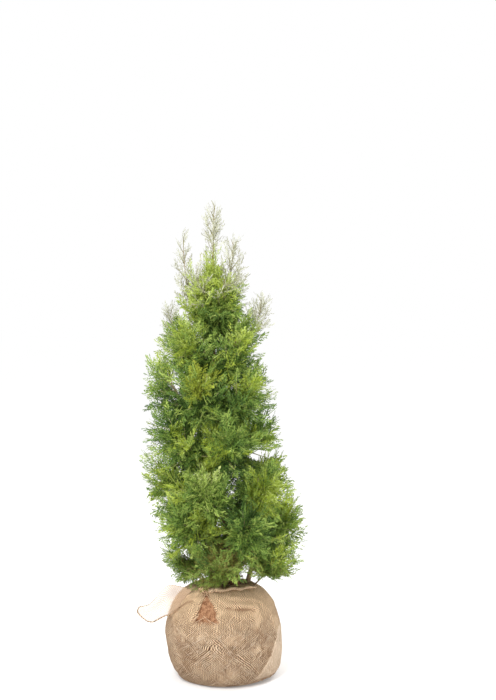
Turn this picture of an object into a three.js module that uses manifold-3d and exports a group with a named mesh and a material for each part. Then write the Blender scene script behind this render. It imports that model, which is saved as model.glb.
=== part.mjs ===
// A young columnar thuja, dug for planting: its root ball is wrapped in hessian, whose corners are
// pulled up over the top and knotted. The trunk runs whole from the ball to the foot of the leader.
// Boughs carry flat, ferny masses of foliage round it, in six tiers with a few upright spires on top.
//
// Millimetres, +Z up, +X to the right and +Y to the back. The origin is the centre of the flat
// underside that the ball stands on.

import * as THREE from "three";
import { mergeVertices } from "three/addons/utils/BufferGeometryUtils.js";
import Module from "manifold-3d";

const wasm = await Module();
wasm.setup();

// ---------------------------------------------------------------- driving dimensions

const GAP = 0.3; // between two pieces that meet
const WELD = 1e-3; // corners nearer than this are one corner
const FILE_GRID = 1e4; // steps to a millimetre that files round corners to
const UP = new THREE.Vector3(0, 0, 1);
const GOLDEN_ANGLE = Math.PI * (3 - Math.sqrt(5));

// The root ball is a squat sack: a flat foot, a full waist and a flat top that the stems stand on.
const BALL = {
  radius: 160,
  height: 258,
  waist: 122, // height of the widest ring
  foot: 104, // radius of the flat underside
  top: 74, // radius of the flat top
  fullness: [0.72, 1.08], // below and above the waist; under 1 is fuller than a round arc
  sag: 11, // how far the low right side bulges
  sectors: 28,
  rings: 10,
};

// The trunk leans to the left, and straightens up between two heights.
const TRUNK = {
  footX: 37,
  topX: -28,
  footY: 4,
  bendFrom: 190,
  bendTo: 720,
  top: 1190,
  foot: 12.5, // radius above the flare
  tip: 2.2,
  flare: 6, // what the root flare adds at the cut
  flareHeight: 16,
  sides: 8,
  steps: 12,
};

// How far the foliage reaches from the trunk's line, to the left and to the right, by height.
const CROWN = [
  { height: 262, left: 160, right: 150 },
  { height: 320, left: 194, right: 196 },
  { height: 390, left: 206, right: 217 },
  { height: 500, left: 209, right: 219 },
  { height: 613, left: 208, right: 200 },
  { height: 725, left: 197, right: 180 },
  { height: 859, left: 190, right: 170 },
  { height: 926, left: 182, right: 144 },
  { height: 1016, left: 138, right: 142 },
  { height: 1100, left: 112, right: 116 },
  { height: 1240, left: 90, right: 78 },
  { height: 1340, left: 30, right: 30 },
];

// Each tier is a ring of limbs. A limb leaves the trunk at one height and ends at another. Its bough
// is bare over the first share of it, and the rest is the stem of a mass of foliage.
const TIERS = [
  { name: "skirt", count: 5, turn: 38, leaves: 296, ends: 322, bough: 0.32, thick: 4.2, twig: 70, spray: 74, core: 48, shoots: 5 },
  { name: "lower", count: 5, turn: 2, leaves: 345, ends: 432, bough: 0.3, thick: 4.8, twig: 80, spray: 80, core: 66 },
  { name: "middle", count: 5, turn: 36, leaves: 450, ends: 560, bough: 0.3, thick: 4.4, twig: 80, spray: 80, core: 66 },
  { name: "upper", count: 5, turn: 0, leaves: 566, ends: 692, bough: 0, thick: 4, twig: 90, spray: 80, core: 64 },
  { name: "shoulder", count: 5, turn: 36, leaves: 680, ends: 826, bough: 0, thick: 3.4, twig: 90, spray: 78, core: 60 },
  { name: "crest", count: 4, turn: 50, leaves: 796, ends: 962, bough: 0, thick: 3, twig: 80, spray: 72, core: 52, shoots: 5 },
  { name: "crown", count: 4, turn: 48, leaves: 930, ends: 1104, bough: 0, thick: 2.6, twig: 60, spray: 68, core: 40, shoots: 5 },
];
const TIP_REACH = 66; // how far a mass's sprays stand out past the end of its limb
const SPREAD = { end: 22, start: 14 }; // how far a limb's two heights stray from its tier's

// Upright shoots above the tiers: where each leaves the trunk, and where its stem ends.
const SPIRES = [
  { name: "left_spire", leaves: 950, tip: [-112, 10, 1234], thick: 2.6, twig: 50, spray: 70, core: 26 },
  { name: "right_spire", leaves: 1010, tip: [28, -12, 1220], thick: 2.4, twig: 50, spray: 70, core: 26 },
  { name: "back_spire", leaves: 1000, tip: [-46, 52, 1176], thick: 2.4, twig: 48, spray: 70, core: 26 },
  { name: "right_shoot", leaves: 900, tip: [106, -8, 1056], thick: 2.6, twig: 52, spray: 72, core: 34 },
  { name: "left_shoot", leaves: 870, tip: [-146, -8, 1024], thick: 2.6, twig: 56, spray: 74, core: 44 },
];
const LEADER = { name: "leader", tip: [-25, 0, 1324], thick: 2, twig: 34, spray: 52, core: 14, shoots: 7 };

// Thin stems that rise from the ball beside the trunk, each in place of one limb of a tier.
const BASAL_STEMS = [
  { limb: "lower_1", name: "stem_right", foot: [66, 0], handle: [92, 4, 370], thick: 7.5, bough: 0.62 },
  { limb: "skirt_5", name: "stem_low_right", foot: [82, -16], handle: [108, -30, 284], thick: 2.6, bough: 0.5 },
  { limb: "skirt_3", name: "stem_left", foot: [4, 14], handle: [-30, 26, 300], thick: 4, bough: 0.5 },
];

// The hessian's loose pieces. Corners are measured points on the wrap.
const CLOTH = 2.4; // thickness of a folded layer of hessian
const EAR = {
  rootTop: [-70, -58, 248],
  rootLow: [-128, -54, 188],
  tipTop: [-206, -70, 230],
  tipLow: [-222, -72, 164],
  point: 26, // how far the free end runs out to a point
  wave: 7,
  arch: 22, // how far its top edge stands up
};
const KNOT = { centre: [-52, -84, 262], radius: 15, flatness: 0.8 };
const ROLL = {
  path: [
    [-34, -88, 257],
    [0, -84, 262],
    [44, -68, 261],
    [84, -40, 256],
  ],
  radius: 6.5,
};
const LAP = { from: -62, to: 48, low: 16, high: 152, stand: 3.3, lift: 7 };

// ---------------------------------------------------------------- small tools

const vector = (xyz) => new THREE.Vector3(...xyz);
const { lerp, degToRad, smoothstep } = THREE.MathUtils;

// Repeatable random numbers from 0 to 1, by the mulberry32 rule.
function seeded(seed) {
  let state = seed >>> 0;
  return () => {
    state = (state + 0x6d2b79f5) >>> 0;
    let mixed = Math.imul(state ^ (state >>> 15), state | 1);
    mixed ^= mixed + Math.imul(mixed ^ (mixed >>> 7), mixed | 61);
    return ((mixed ^ (mixed >>> 14)) >>> 0) / 4294967296;
  };
}

// A closed geometry as a manifold solid.
function solidOf(geometry) {
  const bare = geometry.clone();
  for (const name of Object.keys(bare.attributes)) if (name !== "position") bare.deleteAttribute(name);
  const merged = mergeVertices(bare, WELD);
  return new wasm.Manifold(
    new wasm.Mesh({
      numProp: 3,
      vertProperties: new Float32Array(merged.attributes.position.array),
      triVerts: new Uint32Array(merged.index.array),
    }),
  );
}

// The largest single body of a solid, so that scraps left by a cut are dropped.
function mainBody(solid) {
  return solid.decompose().reduce((best, body) => (body.volume() > best.volume() ? body : best));
}

// Whether a solid is still closed once its corners are welded and then rounded as a file rounds them.
function staysClosed(solid) {
  const { vertProperties, triVerts } = solidOf(geometryOf(solid)).getMesh();
  const place = (i) => [0, 1, 2].map((axis) => Math.round(vertProperties[3 * i + axis] * FILE_GRID)).join();
  const edges = new Map();
  for (let i = 0; i < triVerts.length; i += 3) {
    const corners = [0, 1, 2].map((k) => place(triVerts[i + k]));
    if (new Set(corners).size < 3) continue;
    for (const k of [0, 1, 2]) {
      const edge = [corners[k], corners[(k + 1) % 3]].sort().join(" ");
      edges.set(edge, (edges.get(edge) ?? 0) + 1);
    }
  }
  return [...edges.values()].every((uses) => uses === 2);
}

function geometryOf(solid) {
  const mesh = solid.getMesh();
  const geometry = new THREE.BufferGeometry();
  geometry.setAttribute("position", new THREE.BufferAttribute(mesh.vertProperties, 3));
  geometry.setIndex(new THREE.BufferAttribute(mesh.triVerts, 1));
  geometry.computeVertexNormals();
  return geometry;
}

// Moves each vertex of a geometry to where shape() says.
function reshape(geometry, shape) {
  const position = geometry.attributes.position;
  const point = new THREE.Vector3();
  for (let i = 0; i < position.count; i++) {
    shape(point.fromBufferAttribute(position, i));
    position.setXYZ(i, point.x, point.y, point.z);
  }
  return geometry;
}

// A round limb along a curve: a closed cylinder bent onto it, with its radius from radiusAt(0 to 1).
function limbGeometry(curve, radiusAt, sides, steps) {
  const frames = curve.computeFrenetFrames(steps);
  const cylinder = new THREE.CylinderGeometry(1, 1, 1, sides, steps);
  return reshape(cylinder, (p) => {
    const step = Math.round((p.y + 0.5) * steps);
    const t = step / steps;
    const side = frames.normals[step].clone().multiplyScalar(p.z * radiusAt(t));
    side.addScaledVector(frames.binormals[step], p.x * radiusAt(t));
    p.copy(curve.getPointAt(t)).add(side);
  });
}

// The stretch of a curve between two of its parameters.
class PartOfCurve extends THREE.Curve {
  constructor(curve, from, to) {
    super();
    Object.assign(this, { curve, from, to });
  }
  getPoint(t) {
    return this.curve.getPoint(lerp(this.from, this.to, t));
  }
}

// A sheet with thickness: surface(u, v) gives its middle, and its normal is found by differences.
function sheetGeometry(surface, across, along, thickness) {
  const box = new THREE.BoxGeometry(1, 1, 1, across, along, 1);
  const step = 1e-3;
  return reshape(box, (p) => {
    const [u, v, side] = [p.x + 0.5, p.y + 0.5, Math.sign(p.z)];
    const middle = surface(u, v);
    const du = surface(u + step, v).sub(surface(u - step, v));
    const dv = surface(u, v + step).sub(surface(u, v - step));
    p.copy(middle).addScaledVector(du.cross(dv).normalize(), (side * thickness) / 2);
  });
}

// ---------------------------------------------------------------- root ball and hessian

// Radius and height of the ball's outline, for an angle from -90 at the foot to 90 at the top.
function ballOutline(angle) {
  const a = degToRad(angle);
  const flat = a < 0 ? BALL.foot : BALL.top;
  const rise = a < 0 ? BALL.waist : BALL.height - BALL.waist;
  const fullness = BALL.fullness[a < 0 ? 0 : 1];
  const out = Math.max(Math.cos(a), 0) ** fullness;
  const up = Math.sign(a) * Math.abs(Math.sin(a)) ** fullness;
  return [flat + (BALL.radius - flat) * out, BALL.waist + rise * up];
}

// The lumps and the low bulge that soil gives the sack, as a change of radius.
function ballLump(turn, height) {
  const share = THREE.MathUtils.clamp(height / BALL.height, 0, 1);
  const body = Math.sqrt(Math.max(Math.sin(Math.PI * share), 0));
  const lumps =
    3.2 * Math.sin(2 * turn + 0.6) +
    2.6 * Math.sin(3 * turn - 1.1 + height / 95) +
    1.8 * Math.sin(5 * turn + 2 + height / 60);
  const bulge = BALL.sag * Math.cos(turn) * Math.max(1 - height / BALL.waist, 0) * Math.min(share * 20, 1);
  return lumps * body + bulge;
}

function ballGeometry(grown = 0) {
  const profile = [new THREE.Vector2(0, 0)];
  for (let i = 0; i <= BALL.rings; i++) {
    const [radius, height] = ballOutline(lerp(-90, 90, i / BALL.rings));
    profile.push(new THREE.Vector2(radius + grown, height + (height > BALL.waist ? grown : 0)));
  }
  profile.push(new THREE.Vector2(0, BALL.height + grown));
  const lathe = new THREE.LatheGeometry(profile, BALL.sectors).rotateX(Math.PI / 2);
  return reshape(lathe, (p) => {
    const radius = Math.hypot(p.x, p.y);
    if (radius < 1e-6) return;
    const turn = Math.atan2(p.y, p.x);
    const scale = 1 + ballLump(turn, p.z) / radius;
    p.x *= scale;
    p.y *= scale;
  });
}

// A point on the ball's side, at an angle round it and a height, standing out from it.
function ballPoint(turn, height, out) {
  const share = height < BALL.waist ? height / BALL.waist - 1 : (height - BALL.waist) / (BALL.height - BALL.waist);
  const fullness = BALL.fullness[share < 0 ? 0 : 1];
  const angle = Math.sign(share) * Math.asin(Math.min(Math.abs(share), 1) ** (1 / fullness));
  const radius = ballOutline(THREE.MathUtils.radToDeg(angle))[0] + ballLump(turn, height) + out;
  return new THREE.Vector3(radius * Math.cos(turn), radius * Math.sin(turn), height);
}

// The loose corner of the wrap that stands off to the left and runs out to a point.
function earSurface(u, v) {
  const low = vector(EAR.rootLow).lerp(vector(EAR.tipLow), u);
  const top = vector(EAR.rootTop).lerp(vector(EAR.tipTop), u);
  const point = low.lerp(top, v);
  point.x -= EAR.point * u * u * Math.sin(Math.PI * v);
  point.y -= EAR.wave * Math.sin(Math.PI * 2 * v) * Math.sin(Math.PI * 0.8 * u);
  point.z += EAR.arch * v * Math.sin(Math.PI * u);
  return point;
}

// A second layer that laps round the right side. Its front edge stands away from the ball.
function lapSurface(u, v) {
  const turn = degToRad(lerp(LAP.from, LAP.to, u));
  const height = lerp(LAP.low, LAP.high, v);
  const lift = LAP.lift * (1 - smoothstep(u, 0, 0.5)) * (1 - smoothstep(v, 0.4, 1));
  return ballPoint(turn, height, LAP.stand + lift);
}

function knotGeometry() {
  const turns = 3; // strands that the knot is twisted from
  const round = new THREE.SphereGeometry(KNOT.radius, 10, 6);
  return reshape(round, (p) => {
    const twist = Math.atan2(p.y, p.x) * turns + p.z / 5;
    p.multiplyScalar(1 + 0.13 * Math.sin(twist));
    p.z *= KNOT.flatness;
    p.add(vector(KNOT.centre));
  });
}

function rollGeometry() {
  const curve = new THREE.CatmullRomCurve3(ROLL.path.map(vector));
  const radiusAt = (t) => ROLL.radius * (0.55 + 0.45 * Math.sin(Math.PI * Math.min(t + 0.25, 1)));
  return limbGeometry(curve, radiusAt, 6, 10);
}

// ---------------------------------------------------------------- trunk, limbs and their spaces

const soilLevel = BALL.height + GAP;
const STEM_SINK = 7; // how far below the soil a stem's line starts, so that the ball cuts it

// The middle of the trunk at a height. Above the trunk's tip it runs straight on up.
function trunkAt(height) {
  const bend = smoothstep(height, TRUNK.bendFrom, TRUNK.bendTo);
  return new THREE.Vector3(lerp(TRUNK.footX, TRUNK.topX, bend), lerp(TRUNK.footY, 0, bend), height);
}

class TrunkLine extends THREE.Curve {
  getPoint(t) {
    return trunkAt(lerp(soilLevel, TRUNK.top, t));
  }
}

const trunkLine = new TrunkLine();

function trunkRadius(t) {
  const height = t * (TRUNK.top - soilLevel);
  return lerp(TRUNK.foot, TRUNK.tip, t) + TRUNK.flare * Math.exp(-height / TRUNK.flareHeight);
}

// The trunk's first ring is turned level, so that its cut is flat.
function levelFoot(geometry) {
  return reshape(geometry, (p) => {
    if (p.z < soilLevel + 1.5) p.z = soilLevel;
  });
}

// How far the crown reaches from the trunk at a height, in one direction round it.
function crownReach(height, turn) {
  const next = Math.max(CROWN.findIndex((row) => row.height >= height), 1);
  const [below, above] = [CROWN[next - 1], CROWN[next]];
  const share = (height - below.height) / (above.height - below.height);
  const left = lerp(below.left, above.left, share);
  const right = lerp(below.right, above.right, share);
  return (left + right) / 2 + ((right - left) / 2) * Math.cos(turn);
}

function inCrown(point) {
  if (point.z > CROWN.at(-1).height) return false;
  const out = point.clone().sub(trunkAt(point.z));
  return Math.hypot(out.x, out.y) < crownReach(point.z, Math.atan2(out.y, out.x));
}

const limbRadius = (limb, t) => lerp(limb.thick, 0.28 * limb.thick + 0.5, t);
const SPINE_SHARES = [0.09, 0.23, 0.37, 0.51, 0.66, 0.8, 0.94]; // where a limb's space is measured from

// All limbs. Each is a quadratic curve whose first share is bare bough.
function allLimbs() {
  const all = [];
  for (const tier of TIERS) {
    for (let i = 0; i < tier.count; i++) {
      const turn = degToRad(tier.turn + (360 * i) / tier.count);
      const random = seeded(1000 + all.length);
      const ends = tier.ends + lerp(-SPREAD.end, SPREAD.end, random());
      const reach = crownReach(ends, turn) - TIP_REACH;
      const start = trunkAt(tier.leaves + lerp(-SPREAD.start, SPREAD.start, random()));
      const out = new THREE.Vector3(Math.cos(turn), Math.sin(turn), 0);
      const tip = trunkAt(ends).addScaledVector(out, reach);
      const handle = start.clone().addScaledVector(out, 0.72 * reach);
      handle.z = lerp(start.z, tip.z, 0.42);
      all.push({ ...tier, name: `${tier.name}_${i + 1}`, start, handle, tip });
    }
  }
  for (const spire of SPIRES) {
    const [start, tip] = [trunkAt(spire.leaves), vector(spire.tip)];
    const handle = new THREE.Vector3(tip.x, tip.y, lerp(start.z, tip.z, 0.3));
    all.push({ ...spire, upright: true, bough: 0, start, handle, tip });
  }
  const start = trunkAt(TRUNK.top + GAP);
  const tip = vector(LEADER.tip);
  all.push({ ...LEADER, upright: true, bough: 0, start, handle: start.clone().lerp(tip, 0.5), tip });
  for (const { limb: name, foot, handle, ...stem } of BASAL_STEMS) {
    const limb = all.find((one) => one.name === name);
    const [x, y] = foot;
    Object.assign(limb, { start: new THREE.Vector3(x, y, soilLevel - STEM_SINK), handle: vector(handle), stem });
    Object.assign(limb, { thick: stem.thick, bough: stem.bough });
  }
  all.forEach((limb, index) => {
    limb.index = index;
    limb.curve = new THREE.QuadraticBezierCurve3(limb.start, limb.handle, limb.tip);
    limb.spine = SPINE_SHARES.map((share) => limb.curve.getPoint(lerp(limb.bough, 1, share)));
  });
  return all;
}

const limbs = allLimbs();

// The trunk and the bare boughs as rows of points with radii, for a quick test of clearance.
const BARE_STEP = 8;
function bareLine(curve, radiusAt, to) {
  const count = Math.ceil((curve.getLength() * to) / BARE_STEP);
  const shares = Array.from({ length: count + 1 }, (_, i) => (to * i) / count);
  return shares.map((t) => ({ point: curve.getPoint(t), radius: radiusAt(t) + BARE_STEP / 4 }));
}
const bareWood = [
  ...bareLine(trunkLine, trunkRadius, 1),
  ...limbs.filter((l) => l.bough > 0).flatMap((l) => bareLine(l.curve, (t) => limbRadius(l, t), l.bough)),
];

// ---------------------------------------------------------------- foliage

const MARGIN = 1.8; // between the foliage of two masses, or foliage and bare wood
const SOIL_CLEARANCE = 7;
const ROOM_STEP = 6;
const LEAST_SPRAY = 28;
const LEAST_TWIG = 8;
const FACING_LIFT = 0.5; // how far a bough's foliage turns up from the level
const FAN_SPREAD = 0.94; // how wide its shoots fan out, where 1 is a half round
const SPIRE_TILT = 0.62; // radians between a spire's stem and its shoots
const CORE = { from: 0.12, sides: 6, steps: 4, inside: 14, least: 1.6, spireTip: 0.3 };
const SPIRE_TAPER = [1.2, 0.42]; // size of a spire's shoots and sprays, from its foot to its tip
const SHOOTS = { bough: 6, spire: 8 };

// Whether a point is in a limb's own space: nearer to its spine than to any other limb's, above the
// ball, and clear of the trunk and of every bare bough.
function inOwnSpace(point, limb) {
  if (point.z < BALL.height + SOIL_CLEARANCE) return false;
  const nearest = (spine) => Math.min(...spine.map((p) => p.distanceTo(point)));
  const limit = nearest(limb.spine) + MARGIN;
  if (limbs.some((other) => other !== limb && nearest(other.spine) < limit)) return false;
  return bareWood.every((bare) => bare.point.distanceTo(point) > bare.radius + MARGIN);
}

// How far a shoot can grow from a point before it leaves the crown or its limb's space.
function roomAlong(from, direction, limb, most) {
  const point = from.clone();
  for (let room = 0; room < most; room += ROOM_STEP) {
    point.addScaledVector(direction, ROOM_STEP);
    if (!(limb.upright || inCrown(point)) || !inOwnSpace(point, limb)) return room;
  }
  return most;
}

// A direction tilted away from another, to the side that roll gives, and drawn up by growth.
function branchDirection(along, roll, tilt, lift) {
  const level = Math.abs(along.z) > 0.95 ? new THREE.Vector3(1, 0, 0) : UP;
  const side = along.clone().cross(level).normalize().applyAxisAngle(along, roll);
  const direction = along.clone().multiplyScalar(Math.cos(tilt)).addScaledVector(side, Math.sin(tilt));
  return direction.addScaledVector(UP, lift).normalize();
}

// The shoots of a leafy bough fan out evenly round the way it faces, by the golden angle. The more a
// shoot leans away, the further back on the stem it starts.
function fanShoot(limb, i, count, random) {
  const facing = branchDirection(limb.tip.clone().sub(trunkAt(limb.tip.z)).normalize(), 0, 0, FACING_LIFT);
  const lean = Math.acos(1 - ((i + 0.5) / count) * FAN_SPREAD);
  const roll = i * GOLDEN_ANGLE + limb.index + 0.6 * random();
  const t = lerp(limb.bough, 1, lerp(0.96, 0.3, lean / (Math.PI / 2)));
  return { t, direction: branchDirection(facing, roll, lean, 0.08) };
}

// The shoots of a spire leave its stem at the golden angle too, and stand up close to it.
function spireShoot(limb, i, count, random) {
  const t = lerp(0.2, 0.94, i / (count - 1));
  const roll = i * GOLDEN_ANGLE + limb.index + 0.6 * random();
  return { t, direction: branchDirection(limb.curve.getTangent(t), roll, SPIRE_TILT, 0.2) };
}

// The shoots of a limb, each as long as it has room for, and one more at the end of the stem.
function growth(limb) {
  const random = seeded(77 + 131 * limb.index);
  const count = limb.shoots ?? (limb.upright ? SHOOTS.spire : SHOOTS.bough);
  const shoots = [];
  for (let i = 0; i < count; i++) {
    const { t, direction } = (limb.upright ? spireShoot : fanShoot)(limb, i, count, random);
    const root = limb.curve.getPoint(t);
    const scale = limb.upright ? lerp(...SPIRE_TAPER, t) : 1;
    const wanted = limb.twig * scale * lerp(0.85, 1.15, random());
    const spray = limb.spray * scale;
    const length = Math.max(Math.min(wanted, roomAlong(root, direction, limb, wanted + spray) - 0.75 * spray), 0);
    shoots.push({ root, direction, length, thick: 0.5 * limbRadius(limb, t) + 0.6, count: limb.upright ? 1 : 2, spray });
  }
  const spray = limb.spray * (limb.upright ? SPIRE_TAPER[1] : 1);
  shoots.push({ root: limb.tip, direction: limb.curve.getTangent(1), length: 0, thick: 0, count: 1, spray });
  return shoots.map((shoot) => ({ ...shoot, sprays: spraysOf(shoot, limb, random) }));
}

// The sprays of one shoot. Each turns to the first side where it has room.
function spraysOf(shoot, limb, random) {
  const sprays = [];
  for (let k = 0; k < shoot.count; k++) {
    const last = k === shoot.count - 1;
    const from = shoot.root.clone().addScaledVector(shoot.direction, shoot.length * (last ? 0.94 : 0.6));
    const wanted = shoot.spray * lerp(0.85, 1.1, random());
    const turns = [random(), random(), random()];
    const twist = lerp(-1.2, 1.2, random());
    for (const turn of turns) {
      const tilt = degToRad(last ? 14 : 48);
      const points = branchDirection(shoot.direction, 2 * Math.PI * turn, tilt, last ? 0.1 : 0.25);
      const size = Math.min(wanted, roomAlong(from, points, limb, wanted) + ROOM_STEP);
      if (size < Math.max(LEAST_SPRAY, 0.7 * wanted)) continue;
      sprays.push({ from, points, face: branchDirection(points, twist, Math.PI / 2, 0), size });
      break;
    }
  }
  return sprays;
}

// One flat spray of scale leaves: a toothed blade, raised a little along its middle. It points along
// +X from its root at the origin, one unit long, and lies in the XY plane.
const SPRAY_OUTLINE = [
  [0, 0],
  [0.4, 0.25],
  [0.54, 0.13],
  [1, 0],
  [0.68, -0.26],
  [0.3, -0.17],
];
const SPRAY_THICK = 0.022;

function sprayGeometry() {
  const [over, under] = [SPRAY_OUTLINE.length, SPRAY_OUTLINE.length + 1];
  const position = SPRAY_OUTLINE.flatMap(([x, y]) => [x, y, 0]);
  position.push(0.5, 0, SPRAY_THICK, 0.5, 0, -SPRAY_THICK);
  const index = [];
  SPRAY_OUTLINE.forEach((_, i) => {
    const next = (i + 1) % SPRAY_OUTLINE.length;
    index.push(next, i, over, i, next, under);
  });
  const geometry = new THREE.BufferGeometry();
  geometry.setAttribute("position", new THREE.Float32BufferAttribute(position, 3));
  geometry.setIndex(index);
  return geometry;
}

const sprayPattern = sprayGeometry();

// A spray in its place, its root sunk into the twig.
function placedSpray({ from, points, face, size }) {
  const side = face.clone().cross(points).normalize();
  const normal = points.clone().cross(side);
  const matrix = new THREE.Matrix4().makeBasis(points, side, normal);
  matrix.scale(new THREE.Vector3(size, size, size));
  matrix.setPosition(from.clone().addScaledVector(points, -0.02 * size));
  return sprayPattern.clone().applyMatrix4(matrix);
}

function cornersOf(geometry) {
  const position = geometry.attributes.position;
  return Array.from({ length: position.count }, (_, i) => new THREE.Vector3().fromBufferAttribute(position, i));
}

// The dense inner growth of a mass, round its stem, as wide as it has room for.
function coreGeometry(limb) {
  const stretch = new PartOfCurve(limb.curve, lerp(limb.bough, 1, CORE.from), 1);
  const geometry = limbGeometry(stretch, () => 1, CORE.sides, CORE.steps);
  return reshape(geometry, (p) => {
    const t = nearestShare(stretch, p);
    const middle = stretch.getPointAt(t);
    const out = p.clone().sub(middle);
    if (out.length() < 0.1) return;
    out.normalize();
    const thinning = limb.upright ? lerp(1, CORE.spireTip, t) : 1;
    const round = limb.core * thinning * Math.sqrt(Math.sin(Math.PI * lerp(0.08, 0.92, t)));
    const room = roomAlong(middle, out, limb, round + CORE.inside) - CORE.inside;
    p.copy(middle).addScaledVector(out, Math.max(Math.min(round, room), limb.thick * CORE.least));
  });
}

function nearestShare(curve, point) {
  const shares = Array.from({ length: CORE.steps + 1 }, (_, i) => i / CORE.steps);
  const distance = (t) => curve.getPointAt(t).distanceTo(point);
  return shares.reduce((best, t) => (distance(t) < distance(best) ? t : best));
}

// A mass of foliage: stem, core, twigs and sprays, fused into one body.
function massSolid(limb, trunkCut) {
  const step = 1e-3;
  const speed = limb.curve.getPoint(limb.bough + step).distanceTo(limb.curve.getPoint(limb.bough)) / step;
  const from = limb.bough > 0 ? limb.bough + GAP / speed : 0;
  const stem = new PartOfCurve(limb.curve, from, 1);
  let mass = solidOf(limbGeometry(stem, (t) => limbRadius(limb, lerp(from, 1, t)), 4, 3));
  const fuse = (geometry) => {
    const joined = mass.add(solidOf(geometry));
    if (staysClosed(joined)) mass = joined;
  };
  fuse(coreGeometry(limb));
  for (const { root, direction, length, thick, sprays } of growth(limb)) {
    if (length > LEAST_TWIG) {
      const twig = new THREE.LineCurve3(root, root.clone().addScaledVector(direction, length));
      fuse(limbGeometry(twig, (t) => lerp(thick, 0.9, t), 3, 1));
    }
    for (const spray of sprays) {
      const blade = placedSpray(spray);
      if (cornersOf(blade).every((p) => inOwnSpace(p, limb))) fuse(blade);
    }
  }
  return mainBody(limb.bough > 0 ? mass : mass.subtract(trunkCut));
}

// ---------------------------------------------------------------- the plant

const finish = (color, roughness) => new THREE.MeshStandardMaterial({ color, roughness, metalness: 0 });
const MATERIALS = {
  hessian: finish(0xc3a37c, 0.95),
  bark: finish(0x6b4a35, 0.9),
  twig: finish(0x7a5a3c, 0.85),
  foliage: finish(0x587f31, 0.7),
  freshFoliage: finish(0x88a33c, 0.7),
};

const plant = new THREE.Group();

function addNode(name, solid, material) {
  const mesh = new THREE.Mesh(geometryOf(solid), MATERIALS[material]);
  mesh.name = name;
  plant.add(mesh);
}

const ball = solidOf(ballGeometry());
const ballCut = solidOf(ballGeometry(GAP));
addNode("root_ball", ball, "hessian");

const knot = mainBody(solidOf(knotGeometry()).subtract(ballCut));
const roll = mainBody(solidOf(rollGeometry()).subtract(ballCut));
const ear = mainBody(solidOf(sheetGeometry(earSurface, 5, 5, CLOTH)).subtract(ballCut));
const lap = mainBody(solidOf(sheetGeometry(lapSurface, 10, 4, CLOTH)).subtract(ballCut));
addNode("hessian_knot", knot, "hessian");
addNode("hessian_roll", roll, "hessian");
addNode("hessian_ear", ear, "hessian");
addNode("hessian_lap", lap, "hessian");

const trunk = solidOf(levelFoot(limbGeometry(trunkLine, trunkRadius, TRUNK.sides, TRUNK.steps)));
const trunkCut = solidOf(limbGeometry(trunkLine, (t) => trunkRadius(t) + GAP, TRUNK.sides, TRUNK.steps));
addNode("trunk", trunk, "bark");

for (const limb of limbs) {
  if (limb.bough > 0) {
    const bare = new PartOfCurve(limb.curve, 0, limb.bough);
    const geometry = limbGeometry(bare, (t) => limbRadius(limb, t * limb.bough), 5, 2);
    const bough = mainBody(solidOf(geometry).subtract(limb.stem ? ballCut : trunkCut));
    addNode(limb.stem ? limb.stem.name : `bough_${limb.name}`, bough, "twig");
  }
  addNode(`foliage_${limb.name}`, massSolid(limb, trunkCut), limb.upright ? "freshFoliage" : "foliage");
}

export default plant;
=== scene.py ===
# %% [markdown]
# # A root-balled thuja
# This thuja was dug from a nursery row. Its roots are still in their soil, and the soil is wrapped in
# hessian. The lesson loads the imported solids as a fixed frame. Then it dresses them: bark on the
# wood, woven cloth on the ball, and thousands of flat ferny fronds in place of the green solids.

# %% Load the frame
import math
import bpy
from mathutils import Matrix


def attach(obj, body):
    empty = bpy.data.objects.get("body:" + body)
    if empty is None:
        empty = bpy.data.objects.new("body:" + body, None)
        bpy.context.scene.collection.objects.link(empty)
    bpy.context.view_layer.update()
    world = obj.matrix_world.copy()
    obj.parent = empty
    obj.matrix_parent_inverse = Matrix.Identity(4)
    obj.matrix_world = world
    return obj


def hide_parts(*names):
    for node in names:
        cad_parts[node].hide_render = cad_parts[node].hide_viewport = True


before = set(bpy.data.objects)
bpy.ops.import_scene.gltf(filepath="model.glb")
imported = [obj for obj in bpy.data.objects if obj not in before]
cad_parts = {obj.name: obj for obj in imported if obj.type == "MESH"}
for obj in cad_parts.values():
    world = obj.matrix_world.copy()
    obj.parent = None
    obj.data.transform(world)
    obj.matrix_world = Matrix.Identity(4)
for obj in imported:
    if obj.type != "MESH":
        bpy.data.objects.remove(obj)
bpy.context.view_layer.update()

from types import SimpleNamespace

import bmesh
import bpy
import numpy as np
from mathutils import Matrix, Vector, noise

# %% [markdown]
# ## Camera, light and floor
# A plant in a studio is lit softly from all round, so that its inner leaves still show. A white sky
# does most of that. One broad lamp from the upper left gives the ball and the boughs a light side, and
# a weaker one behind, on the right, picks out the outline. The floor is pale. It glows by exactly what
# its colour swallows, so it runs into the sky without a line, and only the plant's shadow shows on it.

# %% Camera, light and floor
CAMERA_PLACE, CAMERA_TILT, CAMERA_TURN = (0.046, -3.4, 1.03), 88.1, -0.4  # metres, then degrees
PLANT_MIDDLE = Vector((0, 0, 0.6))
FLOOR_COLOUR = 0.84
scene = bpy.context.scene
camera = bpy.data.objects.new("camera", bpy.data.cameras.new("camera"))
scene.collection.objects.link(camera)
camera.location = CAMERA_PLACE
camera.rotation_euler = (math.radians(CAMERA_TILT), 0, math.radians(CAMERA_TURN))
camera.data.sensor_fit = "VERTICAL"
camera.data.sensor_height = 36
camera.data.lens = 62.4
scene.camera = camera
scene.view_settings.view_transform = "Standard"

world = bpy.data.worlds.new("studio")
world.use_nodes = True
world.node_tree.nodes["Background"].inputs["Color"].default_value = (1, 1, 1, 1)
world.node_tree.nodes["Background"].inputs["Strength"].default_value = 1.0
scene.world = world


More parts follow.
